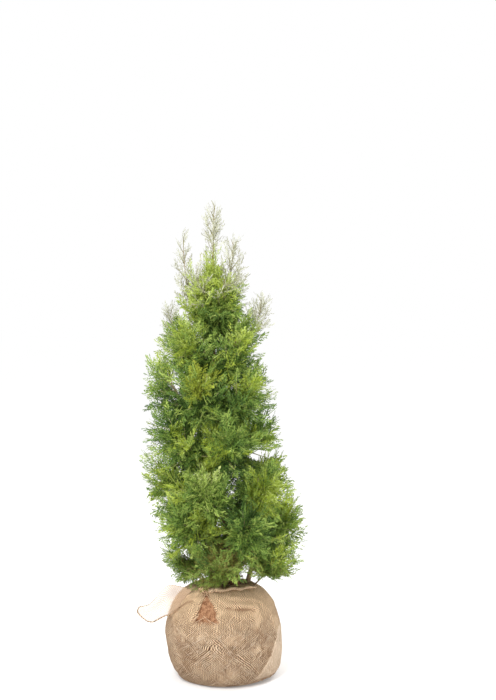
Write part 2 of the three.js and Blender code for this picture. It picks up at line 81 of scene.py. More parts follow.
def add_lamp(name, place, size, power):
    """A square soft box that looks at the middle of the plant."""
    lamp = bpy.data.objects.new(name, bpy.data.lights.new(name, "AREA"))
    scene.collection.objects.link(lamp)
    lamp.location = place
    lamp.rotation_euler = (PLANT_MIDDLE - lamp.location).to_track_quat("-Z", "Y").to_euler()
    lamp.data.size = size
    lamp.data.energy = power


add_lamp("key", (-1.0, -2.8, 2.7), 1.1, 96)
add_lamp("rim", (1.8, 1.6, 2.4), 1.6, 34)

floor_mesh = bmesh.new()
bmesh.ops.create_circle(floor_mesh, cap_ends=True, radius=40, segments=96)
floor = bpy.data.objects.new("floor", bpy.data.meshes.new("floor"))
floor_mesh.to_mesh(floor.data)
floor_mesh.free()
scene.collection.objects.link(floor)
print("camera looks from", tuple(camera.location))

# %% [markdown]
# ## A finish is an expression
# A finish is a graph of nodes, but it's easier to read as maths. A Wire stands for one socket, and
# adding or multiplying wires adds the Math nodes. Every other node comes from one method.


# %% Finishes as expressions
class Wire:
    """One socket's value on its way through a finish."""

    def __init__(self, finish, socket):
        self.finish = finish
        self.socket = socket

    def math(self, operation, *others):
        return self.finish.node("ShaderNodeMath", {"operation": operation}, dict(enumerate((self, *others))))

    def __add__(self, other):
        return self.math("ADD", other)

    def __sub__(self, other):
        return self.math("SUBTRACT", other)

    def __rsub__(self, other):
        return self * -1.0 + other

    def __mul__(self, other):
        return self.math("MULTIPLY", other)

    __radd__ = __add__
    __rmul__ = __mul__

    def step(self, low, high):
        """A soft step from 0 at low to 1 at high."""
        settings = {"interpolation_type": "SMOOTHSTEP"}
        return self.finish.node("ShaderNodeMapRange", settings, {0: self, 1: low, 2: high, 3: 0.0, 4: 1.0})


class Finish:
    """One material: a principled shader whose inputs are fed by wires."""

    def __init__(self, name, roughness):
        self.material = bpy.data.materials.new(name)
        self.material.use_nodes = True
        self.tree = self.material.node_tree
        self.shader = self.tree.nodes["Principled BSDF"]
        self.shader.inputs["Roughness"].default_value = roughness

    def node(self, kind, settings=None, values=None, output=0):
        made = self.tree.nodes.new(kind)
        for key, value in (settings or {}).items():
            setattr(made, key, value)
        for key, value in (values or {}).items():
            self.connect(made.inputs[key], value)
        return Wire(self, made.outputs[output])

    def connect(self, socket, value):
        if isinstance(value, Wire):
            self.tree.links.new(value.socket, socket)
        else:
            socket.default_value = value

    def set(self, **values):
        for key, value in values.items():
            self.connect(self.shader.inputs[key.replace("_", " ").title().replace("Ior", "IOR")], value)

    def place(self):
        return self.node("ShaderNodeTexCoord", output="Object")

    def noise(self, place, scale, detail=2.0, roughness=0.5):
        values = {"Vector": place, "Scale": scale, "Detail": detail, "Roughness": roughness}
        return self.node("ShaderNodeTexNoise", {}, values)

    def stretched(self, place, scale):
        return self.node("ShaderNodeMapping", {}, {"Vector": place, "Scale": scale})

    def mix(self, share, first, second):
        """Two colours, mixed by a share from 0 to 1."""
        return self.node("ShaderNodeMix", {"data_type": "RGBA"}, {0: share, 6: first, 7: second}, output=2)

    def axis(self, vector, name):
        return self.node("ShaderNodeSeparateXYZ", {}, {0: vector}, output=name)

    def attribute(self, name):
        return self.node("ShaderNodeAttribute", {"attribute_name": name}, output="Fac")

    def bump(self, height, distance, strength=1.0):
        values = {"Height": height, "Distance": distance, "Strength": strength}
        self.set(normal=self.node("ShaderNodeBump", {}, values))


def colour(code):
    """A colour that is written as six digits, as the shader's linear numbers."""
    parts = [int(code[i : i + 2], 16) / 255 for i in (0, 2, 4)]
    return (*[p / 12.92 if p < 0.04045 else ((p + 0.055) / 1.055) ** 2.4 for p in parts], 1.0)


floor_finish = Finish("pale_floor", 0.9)
floor_finish.set(base_color=(FLOOR_COLOUR, FLOOR_COLOUR, FLOOR_COLOUR, 1), emission_color=(1, 1, 1, 1))
floor_finish.set(emission_strength=1 - FLOOR_COLOUR, specular_ior_level=0.0)
floor.data.materials.append(floor_finish.material)
print("floor finished")

# %% [markdown]
# ## The limbs and the crown
# The solids were grown by a rule: limbs leave the trunk in tiers, and each owns the space that is
# nearer to it than to any other limb. The fronds have to grow on from the same limbs, so the rule's
# numbers are written again here, in millimetres.

# %% The trunk's line, the crown's outline and the tiers of limbs
BALL_HEIGHT, SOIL_LEVEL = 258.0, 258.3
UP = np.array([0.0, 0.0, 1.0])
GOLDEN_ANGLE = math.pi * (3 - math.sqrt(5))
TRUNK = SimpleNamespace(
    foot_x=37, top_x=-28, foot_y=4, bend_from=190, bend_to=720, top=1190, foot_radius=12.5, top_radius=2.2
)
CROWN = np.array([
    # height, reach to the left, reach to the right
    (262, 160, 150), (320, 194, 196), (390, 206, 217), (500, 209, 219), (613, 208, 200), (725, 197, 180),
    (859, 190, 170), (926, 182, 144), (1016, 138, 142), (1100, 112, 116), (1240, 90, 78), (1340, 30, 30),
], float)
TIERS = [
    # name, count, turn, leaves, ends, bare share, thick, twig, spray
    ("skirt", 5, 38, 296, 322, 0.32, 4.2, 70, 74),
    ("lower", 5, 2, 345, 432, 0.3, 4.8, 80, 80),
    ("middle", 5, 36, 450, 560, 0.3, 4.4, 80, 80),
    ("upper", 5, 0, 566, 692, 0, 4, 90, 80),
    ("shoulder", 5, 36, 680, 826, 0, 3.4, 90, 78),
    ("crest", 4, 50, 796, 962, 0, 3, 80, 72),
    ("crown", 4, 48, 930, 1104, 0, 2.6, 60, 68),
]
SPIRES = [
    # name, leaves, tip, thick, twig, spray
    ("left_spire", 950, (-112, 10, 1234), 2.6, 50, 70),
    ("right_spire", 1010, (28, -12, 1220), 2.4, 50, 70),
    ("back_spire", 1000, (-46, 52, 1176), 2.4, 48, 70),
    ("right_shoot", 900, (106, -8, 1056), 2.6, 52, 72),
    ("left_shoot", 870, (-146, -8, 1024), 2.6, 56, 74),
]
LEADER = SimpleNamespace(tip=(-25, 0, 1324), thick=2, twig=34, spray=52)
BASAL_STEMS = {
    # limb: name, foot, handle, thick, bare share
    "lower_1": ("stem_right", (66, 0), (92, 4, 370), 7.5, 0.62),
    "skirt_5": ("stem_low_right", (82, -16), (108, -30, 284), 2.6, 0.5),
    "skirt_3": ("stem_left", (4, 14), (-30, 26, 300), 4, 0.5),
}
STEM_SINK, TIP_REACH, END_STRAY, START_STRAY = 7, 66, 22, 14
HANDLE_REACH, HANDLE_RISE, SPIRE_HANDLE_RISE = 0.72, 0.42, 0.3
TIP_TAPER, TIP_LEAST = 0.28, 0.5  # a limb's radius at its tip: this share of its thickness, and this more


def lerp(a, b, t):
    return a + (b - a) * t


def smoothstep(x, low, high):
    t = np.clip((x - low) / (high - low), 0, 1)
    return t * t * (3 - 2 * t)


def unit(vector):
    return vector / np.linalg.norm(vector, axis=-1, keepdims=True)


def seeded(seed):
    """Repeatable random numbers from 0 to 1, by the mulberry32 rule."""
    state, mask = seed, 0xFFFFFFFF

    def draw(low=0.0, high=1.0):
        nonlocal state
        state = (state + 0x6D2B79F5) & mask
        mixed = ((state ^ (state >> 15)) * (state | 1)) & mask
        mixed ^= (mixed + (((mixed ^ (mixed >> 7)) * (mixed | 61)) & mask)) & mask
        return low + (high - low) * ((mixed ^ (mixed >> 14)) / 4294967296)

    return draw


def trunk_at(height):
    """The middle of the trunk at each height."""
    height = np.asarray(height, float)
    bend = smoothstep(height, TRUNK.bend_from, TRUNK.bend_to)
    return np.stack([lerp(TRUNK.foot_x, TRUNK.top_x, bend), lerp(TRUNK.foot_y, 0, bend), height], -1)


def crown_reach(height, turn):
    left, right = (np.interp(height, CROWN[:, 0], CROWN[:, column]) for column in (1, 2))
    return (left + right) / 2 + (right - left) / 2 * np.cos(turn)


print("crown from", CROWN[0, 0], "to", CROWN[-1, 0], "mm")


# %% Every limb as a curve
class Limb:
    """A quadratic curve from the trunk to a tip. Its first share is bare bough."""

    def __init__(self, name, tier, start, handle, tip, bare, thick, twig, spray, upright=False):
        self.name, self.tier, self.upright = name, tier, upright
        self.start, self.handle, self.tip = (np.asarray(p, float) for p in (start, handle, tip))
        self.bare, self.thick, self.twig, self.spray = bare, thick, twig, spray
        self.stem = None

    def at(self, t):
        t = np.asarray(t, float)[..., None]
        return (1 - t) ** 2 * self.start + 2 * (1 - t) * t * self.handle + t * t * self.tip

    def along(self, t):
        return unit((1 - t) * (self.handle - self.start) + t * (self.tip - self.handle))

    def radius(self, t):
        return lerp(self.thick, TIP_TAPER * self.thick + TIP_LEAST, t)


def all_limbs():
    limbs = []
    for tier, count, turn, leaves, ends, bare, thick, twig, spray in TIERS:
        for i in range(count):
            angle = math.radians(turn + 360 * i / count)
            random = seeded(1000 + len(limbs))
            end = ends + random(-END_STRAY, END_STRAY)
            reach = crown_reach(end, angle) - TIP_REACH
            start = trunk_at(leaves + random(-START_STRAY, START_STRAY))
            out = np.array([math.cos(angle), math.sin(angle), 0])
            tip = trunk_at(end) + out * reach
            handle = start + out * HANDLE_REACH * reach
            handle[2] = lerp(start[2], tip[2], HANDLE_RISE)
            limbs.append(Limb(f"{tier}_{i + 1}", tier, start, handle, tip, bare, thick, twig, spray))
    for name, leaves, tip, thick, twig, spray in SPIRES:
        start = trunk_at(leaves)
        handle = (tip[0], tip[1], lerp(start[2], tip[2], SPIRE_HANDLE_RISE))
        limbs.append(Limb(name, "spires", start, handle, tip, 0, thick, twig, spray, True))
    start = trunk_at(TRUNK.top + 0.3)
    handle = (start + LEADER.tip) / 2
    shape = (0, LEADER.thick, LEADER.twig, LEADER.spray, True)
    limbs.append(Limb("leader", "spires", start, handle, LEADER.tip, *shape))
    for limb in limbs:
        if limb.name in BASAL_STEMS:
            limb.stem, foot, limb.handle, limb.thick, limb.bare = BASAL_STEMS[limb.name]
            limb.start = np.array([*foot, SOIL_LEVEL - STEM_SINK], float)
            limb.handle = np.asarray(limb.handle, float)
    return limbs


limbs = all_limbs()
print(len(limbs), "limbs, the first tip at", limbs[0].tip.round(1))

# %% [markdown]
# ## Whose space is it?
# A frond may grow only inside the crown's outline and nearer to its own limb than to the others, and
# it keeps off the trunk and the bare boughs. Numpy tests many points in one go.

# %% Room to grow
SPINE_SHARES = np.array([0.09, 0.23, 0.37, 0.51, 0.66, 0.8, 0.94])
MARGIN, SOIL_CLEARANCE, ROOM_STEP, BARE_STEP = -4.0, 5.0, 6.0, 8.0
TRUNK_CLEARANCE, BOUGH_CLEARANCE = 2, 1
BARE_RIGHT = 30.0  # how much higher the foliage ends on the right, where only thin stems show
BARE_FROM, BARE_TO = -60, 20
FAR = 1e9
spines = np.stack([limb.at(lerp(limb.bare, 1, SPINE_SHARES)) for limb in limbs])
bare_points = [trunk_at(np.arange(SOIL_LEVEL, TRUNK.top, BARE_STEP))]
bare_radii = [lerp(TRUNK.foot_radius, TRUNK.top_radius, np.linspace(0, 1, len(bare_points[0])))]
bare_radii[0] += TRUNK_CLEARANCE
for limb in limbs:
    if limb.bare > 0:
        shares = np.linspace(0, limb.bare, 12)
        bare_points.append(limb.at(shares))
        bare_radii.append(limb.radius(shares) + BOUGH_CLEARANCE)
bare_points, bare_radii = np.concatenate(bare_points), np.concatenate(bare_radii)


def in_crown(points):
    out = points - trunk_at(points[:, 2])
    reach = crown_reach(points[:, 2], np.arctan2(out[:, 1], out[:, 0]))
    return (points[:, 2] < CROWN[-1, 0]) & (np.hypot(out[:, 0], out[:, 1]) < reach)


def in_own_space(points, index):
    gaps = np.linalg.norm(points[:, None, None] - spines, axis=3).min(2)
    own = gaps[:, index].copy()
    gaps[:, index] = FAR
    off_wood = np.linalg.norm(points[:, None] - bare_points, axis=2) > bare_radii
    floor = BALL_HEIGHT + SOIL_CLEARANCE + BARE_RIGHT * smoothstep(points[:, 0], BARE_FROM, BARE_TO)
    return (gaps.min(1) > own + MARGIN) & (points[:, 2] > floor) & off_wood.all(1)


def room_along(start, direction, index, most):
    """How far a shoot can grow from a point before it leaves the crown or its limb's space."""
    steps = np.arange(1, math.ceil(most / ROOM_STEP) + 1) * ROOM_STEP
    points = start + direction * steps[:, None]
    free = in_own_space(points, index) & (limbs[index].upright | in_crown(points))
    return most if free.all() else float(np.argmin(free)) * ROOM_STEP


print("room along the first limb:", room_along(limbs[0].at(0.6), limbs[0].along(0.6), 0, 120), "mm")

# %% [markdown]
# ## Shoots and fronds
# Each leafy bough fans its shoots out round the way it faces, by the golden angle, and a spire's
# shoots stand up close to it. This is the rule that made the solids, with more shoots on each limb
# and rows of fronds on each shoot. Every frond has a flat plane of its own, turned at random.

# %% Grow the shoots and the fronds
FAN_SPREAD, SPIRE_TILT, FACING_LIFT = 0.94, 0.62, 0.5
SHOOTS = {"bough": 26, "spire": 21, "leader": 12}
FROND_ROWS = {"bough": (0.2, 0.4, 0.6, 0.8, 1.0), "spire": (0.3, 0.55, 0.8, 1.0)}
STEM_FRONDS, INNER_FRONDS = 26, 16
FROND_SCALE = 0.78  # size of a frond, where the solids' one broad spray is 1
SPIRE_TAPER, SHOOT_VARIES, SHORTEST_SHOOT, SPRAY_ROOM = (1.2, 0.42), (0.8, 1.2), 6, 0.7
END_TILTS, SIDE_TILTS, ANY_FACE = (0.1, 0.6), (0.65, 1.5), (-1.5, 1.5)  # ranges in radians
SHORTEST_FROND, USUAL_TWIG, FROND_TESTS = 22, 80, np.array([[0.2], [0.6], [1]])
# Above this cone round the trunk's line fronds are lacy, and on the boughs half of them are left out.
LACY_TOP, LACY_SLOPE, LACY_THINNING = 1176.0, 1.6, 0.5
# The trunk's top is leafy up to the leader's foot, and thin from there on.
COLUMN = SimpleNamespace(count=110, heights=(996, 1126), sizes=(74, 50), tilt=0.7, thin=False)
NECK = SimpleNamespace(count=36, heights=(1128, 1252), sizes=(50, 38), tilt=0.8, thin=True)
WINDOWS = [
    # middle as x and height, radius: the sky shows through these small gaps in the crown
    ((-136, 818), 17), ((-108, 338), 13), ((90, 622), 23), ((124, 630), 21), ((-24, 600), 7),
    ((46, 500), 8), ((-50, 265), 9), ((24, 286), 13), ((48, 282), 13),
]


def branch_direction(along, roll, tilt, lift):
    """A direction tilted away from another, to the side that roll gives, and drawn up by growth."""
    level = np.array([1.0, 0, 0]) if abs(along[2]) > 0.95 else UP
    side = unit(np.cross(along, level))
    side = side * math.cos(roll) + np.cross(along, side) * math.sin(roll)
    return unit(along * math.cos(tilt) + side * math.sin(tilt) + UP * lift)


def shoot_root(limb, index, i, count, random):
    """Where shoot i leaves its limb, and which way it points."""
    roll = i * GOLDEN_ANGLE + index + 0.6 * random()
    if limb.upright:
        t = lerp(0.1, 0.97, i / (count - 1))
        return t, branch_direction(limb.along(t), roll, SPIRE_TILT, 0.2)
    facing = branch_direction(unit(limb.tip - trunk_at(limb.tip[2])), 0, 0, FACING_LIFT)
    lean = math.acos(1 - (i + 0.5) / count * FAN_SPREAD)
    t = lerp(limb.bare, 1, lerp(0.96, 0.3, lean / (math.pi / 2)))
    return t, branch_direction(facing, roll, lean, 0.08)


def is_lacy(place):
    out = place - trunk_at(place[2])
    return place[2] > LACY_TOP - LACY_SLOPE * math.hypot(out[0], out[1])


def in_window(points):
    """Whether a frond would grow across one of the small gaps that show the sky."""
    return any(np.hypot(points[:, 0] - x, points[:, 2] - z).min() < radius for (x, z), radius in WINDOWS)


def add_frond(fronds, root, direction, tilt, lift, size, index, random, least=0.6, wisp=False):
    """One frond in the first of four turns that has room for it."""
    for _ in range(4):
        points = branch_direction(direction, random(0, 2 * math.pi), tilt, lift)
        grown = min(size, room_along(root, points, index, size) + ROOM_STEP)
        if grown < max(SHORTEST_FROND, least * size) or in_window(root + points * grown * FROND_TESTS):
            continue
        face = branch_direction(points, random(*ANY_FACE), math.pi / 2, 0)
        lacy = is_lacy(root + points * 0.4 * grown)
        if not lacy or limbs[index].upright or random() > LACY_THINNING:
            fronds.append((root, points, face, grown, lacy or wisp))
        return


print(len(WINDOWS), "gaps stay open to the sky")


# %% Grow every limb
def grow(limb, index):
    """A limb's shoots, and the fronds on them, along the limb and at its tip."""
    random = seeded(77 + 131 * index)
    shoots, fronds = [], []

    def add(place, direction, tilt, lift, size, **manner):
        add_frond(fronds, place, direction, tilt, lift, size, index, random, **manner)

    count = SHOOTS["leader" if limb.name == "leader" else "spire" if limb.upright else "bough"]
    rows = FROND_ROWS["spire" if limb.upright else "bough"]
    for i in range(count):
        t, direction = shoot_root(limb, index, i, count, random)
        root = limb.at(t)
        scale = lerp(*SPIRE_TAPER, t) if limb.upright else 1
        wanted = limb.twig * scale * random(*SHOOT_VARIES)
        spray = FROND_SCALE * limb.spray * scale
        room = room_along(root, direction, index, wanted + spray)
        length = max(min(wanted, room - SPRAY_ROOM * spray), SHORTEST_SHOOT)
        shoots.append((root, direction, length, 0.5 * limb.radius(t) + 0.5))
        for row in rows:
            for _ in range(2):
                tilt, lift = (random(*END_TILTS), 0.1) if row == 1 else (random(*SIDE_TILTS), 0.15)
                if limb.upright:
                    tilt, lift = tilt * limb.twig / USUAL_TWIG, 0.4
                add(root + direction * length * row * 0.97, direction, tilt, lift, spray * random(0.66, 1.08))
    spray = FROND_SCALE * limb.spray
    if not limb.upright:
        for k in range(STEM_FRONDS):
            t = lerp(limb.bare, 1, lerp(0.02, 0.95, k / (STEM_FRONDS - 1)))
            add(limb.at(t), limb.along(t), random(0.5, 1.5), 0.15, spray * random(0.7, 1.1))
        for _ in range(INNER_FRONDS):
            t = lerp(limb.bare, 1, random(0.01, 0.25))
            add(limb.at(t), -limb.along(t), random(0.3, 1.3), 0.2, spray * random(0.8, 1.3))
        for root, direction, length, _ in shoots:
            end, tilt = root + direction * length, random(0.1, 0.9)
            add(end, direction, tilt, 0.05, spray * random(1.0, 1.5), least=0.4, wisp=True)
    add(limb.tip, limb.along(1), 0.12, 0.1, spray * (0.5 if limb.upright else 1))
    return shoots, fronds


def column_fronds():
    """Steep fronds round the trunk's top."""
    random, fronds = seeded(31), []
    for part in (COLUMN, NECK):
        for k in range(part.count):
            share = k / (part.count - 1)
            height, size = lerp(*part.heights, share), lerp(*part.sizes, share)
            root = trunk_at(min(height, TRUNK.top))
            root[2] = height
            points = branch_direction(UP, random(0, 2 * math.pi), part.tilt * random(0.5, 1.2), 0.0)
            face = branch_direction(points, random(*ANY_FACE), math.pi / 2, 0)
            fronds.append((root, points, face, size * random(0.8, 1.15), part.thin))
    return fronds


growths = [grow(limb, index) for index, limb in enumerate(limbs)]
growths[-1][1].extend(column_fronds())
print(sum(len(g[0]) for g in growths), "shoots and", sum(len(g[1]) for g in growths), "fronds")

# %% [markdown]
# ## One frond
# A frond of thuja is an open, flat fern of scale-covered strands: a midrib, side strands that
# alternate and curve towards the tip, and short forks on those. Leaf by leaf it would need thousands
# of faces, so each strand is one thin bent lozenge in the leaf's own outline, turned a little out of
# the frond's plane so that it catches the light. A few different fronds are enough, because every
# copy is bent and twisted on its own. The fronds of the thin top shoots have fewer, thinner strands.

# %% Frond patterns, one unit long
FULL_KINDS, LACY_KINDS = 7, 4
MIDRIB_WIDTH, MIDRIB_WAISTS, STRAND_WAISTS = 0.028, (0.15, 0.6, 0.9), (0.36, 0.76)
WIDEST_AT, YOUNG_FROM, YOUTH_VARIES = 0.3, 0.62, (-1.8, 1.8)


def frond_pattern(seed, sides, spread, width):
    """Corners, triangles, and how young each triangle is, with forks and outer strands the youngest."""
    random = seeded(seed)
    corners, triangles, youth = [], [], []

    def youth_of(root, age):
        return age + (root[0] > YOUNG_FROM) + random(*YOUTH_VARIES)

    def strand(root, heading, bend, length, thick, waists):
        """A thin strand that bends as it goes: a point, a pair of corners at each waist, a point."""
        lift, roll = random(-0.22, 0.22), random(-0.9, 0.9)
        rows, path, spot, done = [(len(corners),) * 2], [root], root, 0.0
        corners.append(root)
        for share in (*waists, 1.0):
            aim = heading + bend * share
            spot = spot + np.array([math.cos(aim), math.sin(aim), lift]) * length * (share - done)
            done = share
            path.append(spot)
            if share < 1:
                across = np.array([-math.sin(aim), math.cos(aim), 0]) * math.cos(roll) + UP * math.sin(roll)
                rows.append((len(corners), len(corners) + 1))
                corners.extend([spot - across * thick / 2, spot + across * thick / 2])
        rows.append((len(corners),) * 2)
        corners.append(spot)
        for (a, b), (c, d) in zip(rows, rows[1:]):
            triangles.append((a, c, d) if a == b else (a, c, b))
            if a != b and c != d:
                triangles.append((b, c, d))
        youth.extend([youth_of(spot, 0)] * (len(triangles) - len(youth)))
        return path

    def fork(root, heading, length, thick):
        """The shortest strands are one long, pointed triangle."""
        across = np.array([-math.sin(heading), math.cos(heading), random(-0.6, 0.6)]) * thick / 2
        tip = root + np.array([math.cos(heading), math.sin(heading), random(-0.3, 0.3)]) * length
        triangles.append((len(corners), len(corners) + 1, len(corners) + 2))
        corners.extend([root - across, root + across, tip])
        youth.append(youth_of(root, 1))

    strand(np.zeros(3), 0, 0, 1, MIDRIB_WIDTH, MIDRIB_WAISTS)
    for i in range(sides):
        x = lerp(0.1, 0.93, (i + random(-0.25, 0.25)) / (sides - 1))
        side = 1 if i % 2 else -1
        past = x - WIDEST_AT
        reach = spread * (lerp(0.6, 1, x / WIDEST_AT) if past < 0 else max(1 - past / 0.72, 0.12) ** 0.75)
        heading = side * math.radians(lerp(62, 36, x) + random(-9, 9))
        length = reach / abs(math.sin(heading)) * random(0.8, 1.15)
        bend = -side * random(0.2, 1.0)
        path = strand(np.array([x, 0.0, 0.0]), heading, bend, length, width, STRAND_WAISTS)
        for share, spot in zip(STRAND_WAISTS, path[1:]):
            for way in (1, -1):
                turn = way * side * math.radians(random(26, 54))
                reach = length * lerp(0.56, 0.3, share) * random(0.7, 1.2)
                fork(spot, heading + bend * share + turn, reach, width)
    return np.array(corners), np.array(triangles), np.array(youth)


full_fronds = [frond_pattern(500 + kind, 9, 0.3, 0.042) for kind in range(FULL_KINDS)]
lacy_fronds = [frond_pattern(700 + kind, 6, 0.26, 0.03) for kind in range(LACY_KINDS)]
print("triangles in a frond:", [len(p[1]) for p in full_fronds + lacy_fronds])

# %% [markdown]
# ## The greens
# Young tips are lime, full-grown fronds a yellow-green, and those inside the crown a deep green, which
# is partly their own colour and partly painted shade. A few tufts have turned ochre, the foliage low by
# the trunk is olive and bronze, and the thin shoots at the very top look grey-green. The tints form
# ladders from dark to light. Each frond starts on one rung, and its strands stray from it, on the whole
# upwards towards its tip. Every tint is a small procedural finish of its own.

# %% Leaf tints
TINTS = {
    "deep": "45632a", "shade": "6a8a3c", "green": "87a349", "fresh": "a2b757", "lime": "b7c866",
    "tip": "cbd78c", "sun": "a8ba42", "bronze": "7d6c36", "olive": "8a8c44", "ochre": "93a03a",
    "gold": "a8b440", "grey": "aeb08e", "pale": "cccdb4", "wood": "98937a",
}
TINT_NAMES = list(TINTS)
LADDERS = {
    "green": ["deep", "shade", "green", "fresh", "lime", "tip"],
    "lime": ["shade", "green", "sun", "sun", "lime"],
    "bronze": ["bronze", "olive", "green", "fresh"],
    "ochre": ["olive", "ochre", "gold", "gold"],
    "grey": ["wood", "grey", "pale", "pale"],
}
LEAF_SHADE = 0.72  # how dark the darker patches of a leaf are


def leaf_finish(name, code):
    """A tint with the uneven green and the fine pebbling of scale leaves."""
    finish = Finish(f"leaf_{name}", 0.55)
    place = finish.place()
    patches = finish.noise(place, 55.0)
    darker = tuple(LEAF_SHADE * c for c in colour(code)[:3]) + (1,)
    finish.set(base_color=finish.mix(patches.step(0.25, 0.6), darker, colour(code)))
    finish.set(specular_ior_level=0.3)
    finish.bump(finish.noise(place, 900.0, 1.0), 0.0006, 0.5)
    return finish.material


leaf_materials = [leaf_finish(name, code) for name, code in TINTS.items()]
print(len(leaf_materials), "leaf tints")

# %% [markdown]
# Which tint a frond gets depends on where it is: how far out in the crown, how high, and whether it
# stands in one of the tufts that took another colour. The tufts are given as small balls. The green
# tufts with a lift below zero are painted shade, dark where the inside of the crown shows.

# %% Deal the tints out
TUFTS = [
    # green tufts with a lift below zero are painted shade where the crown's inside shows dark
    # ladder, lift up it, centre, radius; where two meet, the first one wins
    ("ochre", 2, (-62, -120, 856), 34), ("ochre", 2, (-22, -120, 864), 30),
    ("ochre", 1, (-70, -130, 812), 26), ("green", -2.5, (46, -130, 476), 46),
    ("green", -2.5, (28, -120, 590), 40), ("green", -2, (-6, -70, 996), 32),
    ("bronze", -0.6, (2, -110, 340), 62), ("bronze", -0.6, (-56, -110, 318), 40),
    ("lime", 1.5, (-27, 0, 1165), 85), ("lime", 0.5, (40, -120, 890), 50),
    ("lime", 0.5, (-90, -110, 905), 44), ("lime", 1, (-20, -60, 1120), 80),
    ("lime", 1, (74, -100, 950), 60), ("lime", 0.5, (-96, -120, 690), 42),
    ("lime", 0.5, (120, -100, 510), 60), ("green", 1, (-60, -160, 560), 50),
    ("lime", 0, (-24, -150, 640), 44), ("lime", 0.5, (-120, -110, 560), 44),
    ("green", -2, (-72, -90, 790), 40), ("green", -1.5, (-130, -100, 780), 40),
    ("green", -1.8, (-156, -40, 725), 74), ("green", -1.5, (20, -140, 800), 44),
    ("green", -1.5, (-110, -130, 620), 34), ("ochre", 1, (60, 120, 720), 44),
    ("lime", 1, (-90, 100, 480), 56), ("lime", 1, (-80, 90, 900), 66), ("green", -2, (40, 110, 560), 60),
    ("lime", 0.5, (120, 90, 620), 60), ("lime", 1, (0, 90, 1040), 70),
]
SLOW_DRIFT, QUICK_DRIFT = 0.014, 0.04  # how fast the green changes from place to place, per millimetre
CORE_RUNG, RIM_LIFT, DRIFT_LIFT, TOP_LIFT, YOUTH_LIFT, RUNG_VARIES = 0.7, 1.2, 1.6, 0.9, 0.7, (-0.9, 0.9)
TOP_FROM, TOP_TO, BRONZE_FROM, BRONZE_TO, NECK_TOP = 820, 1080, 290, 430, 1196  # heights


def tint_of(place, limb, lacy, random):
    """The ladder of a frond's tint, and how far up it the frond starts."""
    out = place - trunk_at(place[2])
    share = math.hypot(out[0], out[1]) / crown_reach(place[2], math.atan2(out[1], out[0]))
    drift = noise.noise(Vector(place) * SLOW_DRIFT)
    drift += 0.5 * noise.noise(Vector(place) * QUICK_DRIFT + Vector((7, 3, 1)))
    # fronds deep in the crown start low on the ladder: partly their own darker green, partly painted shade
    rung = CORE_RUNG + RIM_LIFT * min(share, 1.1) + DRIFT_LIFT * drift + random(*RUNG_VARIES)
    rung += TOP_LIFT * smoothstep(place[2], TOP_FROM, TOP_TO)
    if limb.name == "leader" and place[2] < NECK_TOP:
        return "lime", rung + 1.5
    if lacy and is_lacy(place) and (limb.tier == "spires" or random() < 0.5):
        return "grey", 0.2 + 1.7 * random() + 0.7 * drift
    for ladder, lift, centre, radius in TUFTS:
        if np.linalg.norm(place - np.array(centre)) < radius * (1 + 0.6 * drift + random(-0.2, 0.2)):
            return ladder, (random(0, 1) if ladder == "ochre" else rung) + lift
    if random() < (1.2 - 1.2 * smoothstep(place[2], BRONZE_FROM, BRONZE_TO)) * (1.15 - share):
        return "bronze", 1.6 * random() + share
    return ("lime" if drift > 0.3 else "green"), rung


def rung_indices(ladder, rungs):
    """Which tints stand on some rungs of a ladder, as places in the list of tints."""
    numbers = np.array([TINT_NAMES.index(name) for name in LADDERS[ladder]])
    return numbers[np.clip(rungs, 0, len(numbers) - 1).astype(int)]


print(len(TUFTS), "tufts of another tint")


# %% Many small meshes as one
def add_piece(mesh, materials):
    """A new object for a mesh, with its materials."""
    for material in materials:
        mesh.materials.append(material)
    piece = bpy.data.objects.new(mesh.name, mesh)
    scene.collection.objects.link(piece)
    return piece


def joined_mesh(name, parts, tints, materials):
    """One mesh from many small ones, each given as its corners in millimetres and its triangles."""
    starts = np.cumsum([0] + [len(corners) for corners, _ in parts])
    corners = np.concatenate([corners for corners, _ in parts])
    triangles = np.concatenate([faces + start for (_, faces), start in zip(parts, starts)])
    mesh = bpy.data.meshes.new(name)
    mesh.vertices.add(len(corners))
    mesh.vertices.foreach_set("co", (corners * 0.001).astype(np.float32).ravel())
    mesh.loops.add(3 * len(triangles))
    mesh.loops.foreach_set("vertex_index", triangles.astype(np.int32).ravel())
    mesh.polygons.add(len(triangles))
    mesh.polygons.foreach_set("loop_start", np.arange(0, 3 * len(triangles), 3, dtype=np.int32))
    mesh.polygons.foreach_set("material_index", np.broadcast_to(tints, len(triangles)).astype(np.int32))
    mesh.polygons.foreach_set("use_smooth", np.ones(len(triangles), bool))
    piece = add_piece(mesh, materials)
    mesh.update(calc_edges=True)
    mesh.validate()
    return piece


# %% The leaves of each tier
# How far copies of a frond differ: in twist, sideways bend, nod, cupping and droop.
TWISTS, BENDS, NODS, CUPS, DROOPS = (-0.5, 0.5), (-0.14, 0.14), (-0.2, 0.2), (-1.2, 1.2), (-0.1, 0.16)


def placed_frond(frond, pattern, random):
    """The corners of one frond, bent in its own way and carried to its place."""
    root, points, face, size, _ = frond
    side = np.cross(face, points)
    x, y, z = pattern.T
    twist = x * random(*TWISTS)
    y, z = y * np.cos(twist) - z * np.sin(twist), y * np.sin(twist) + z * np.cos(twist)
    y = y + x * x * random(*BENDS)
    z = z + x * x * random(*NODS) + y * y * random(*CUPS)
    placed = x[:, None] * points + y[:, None] * side + z[:, None] * face
    return root + size * (placed + (x * x * random(*DROOPS))[:, None] * UP)


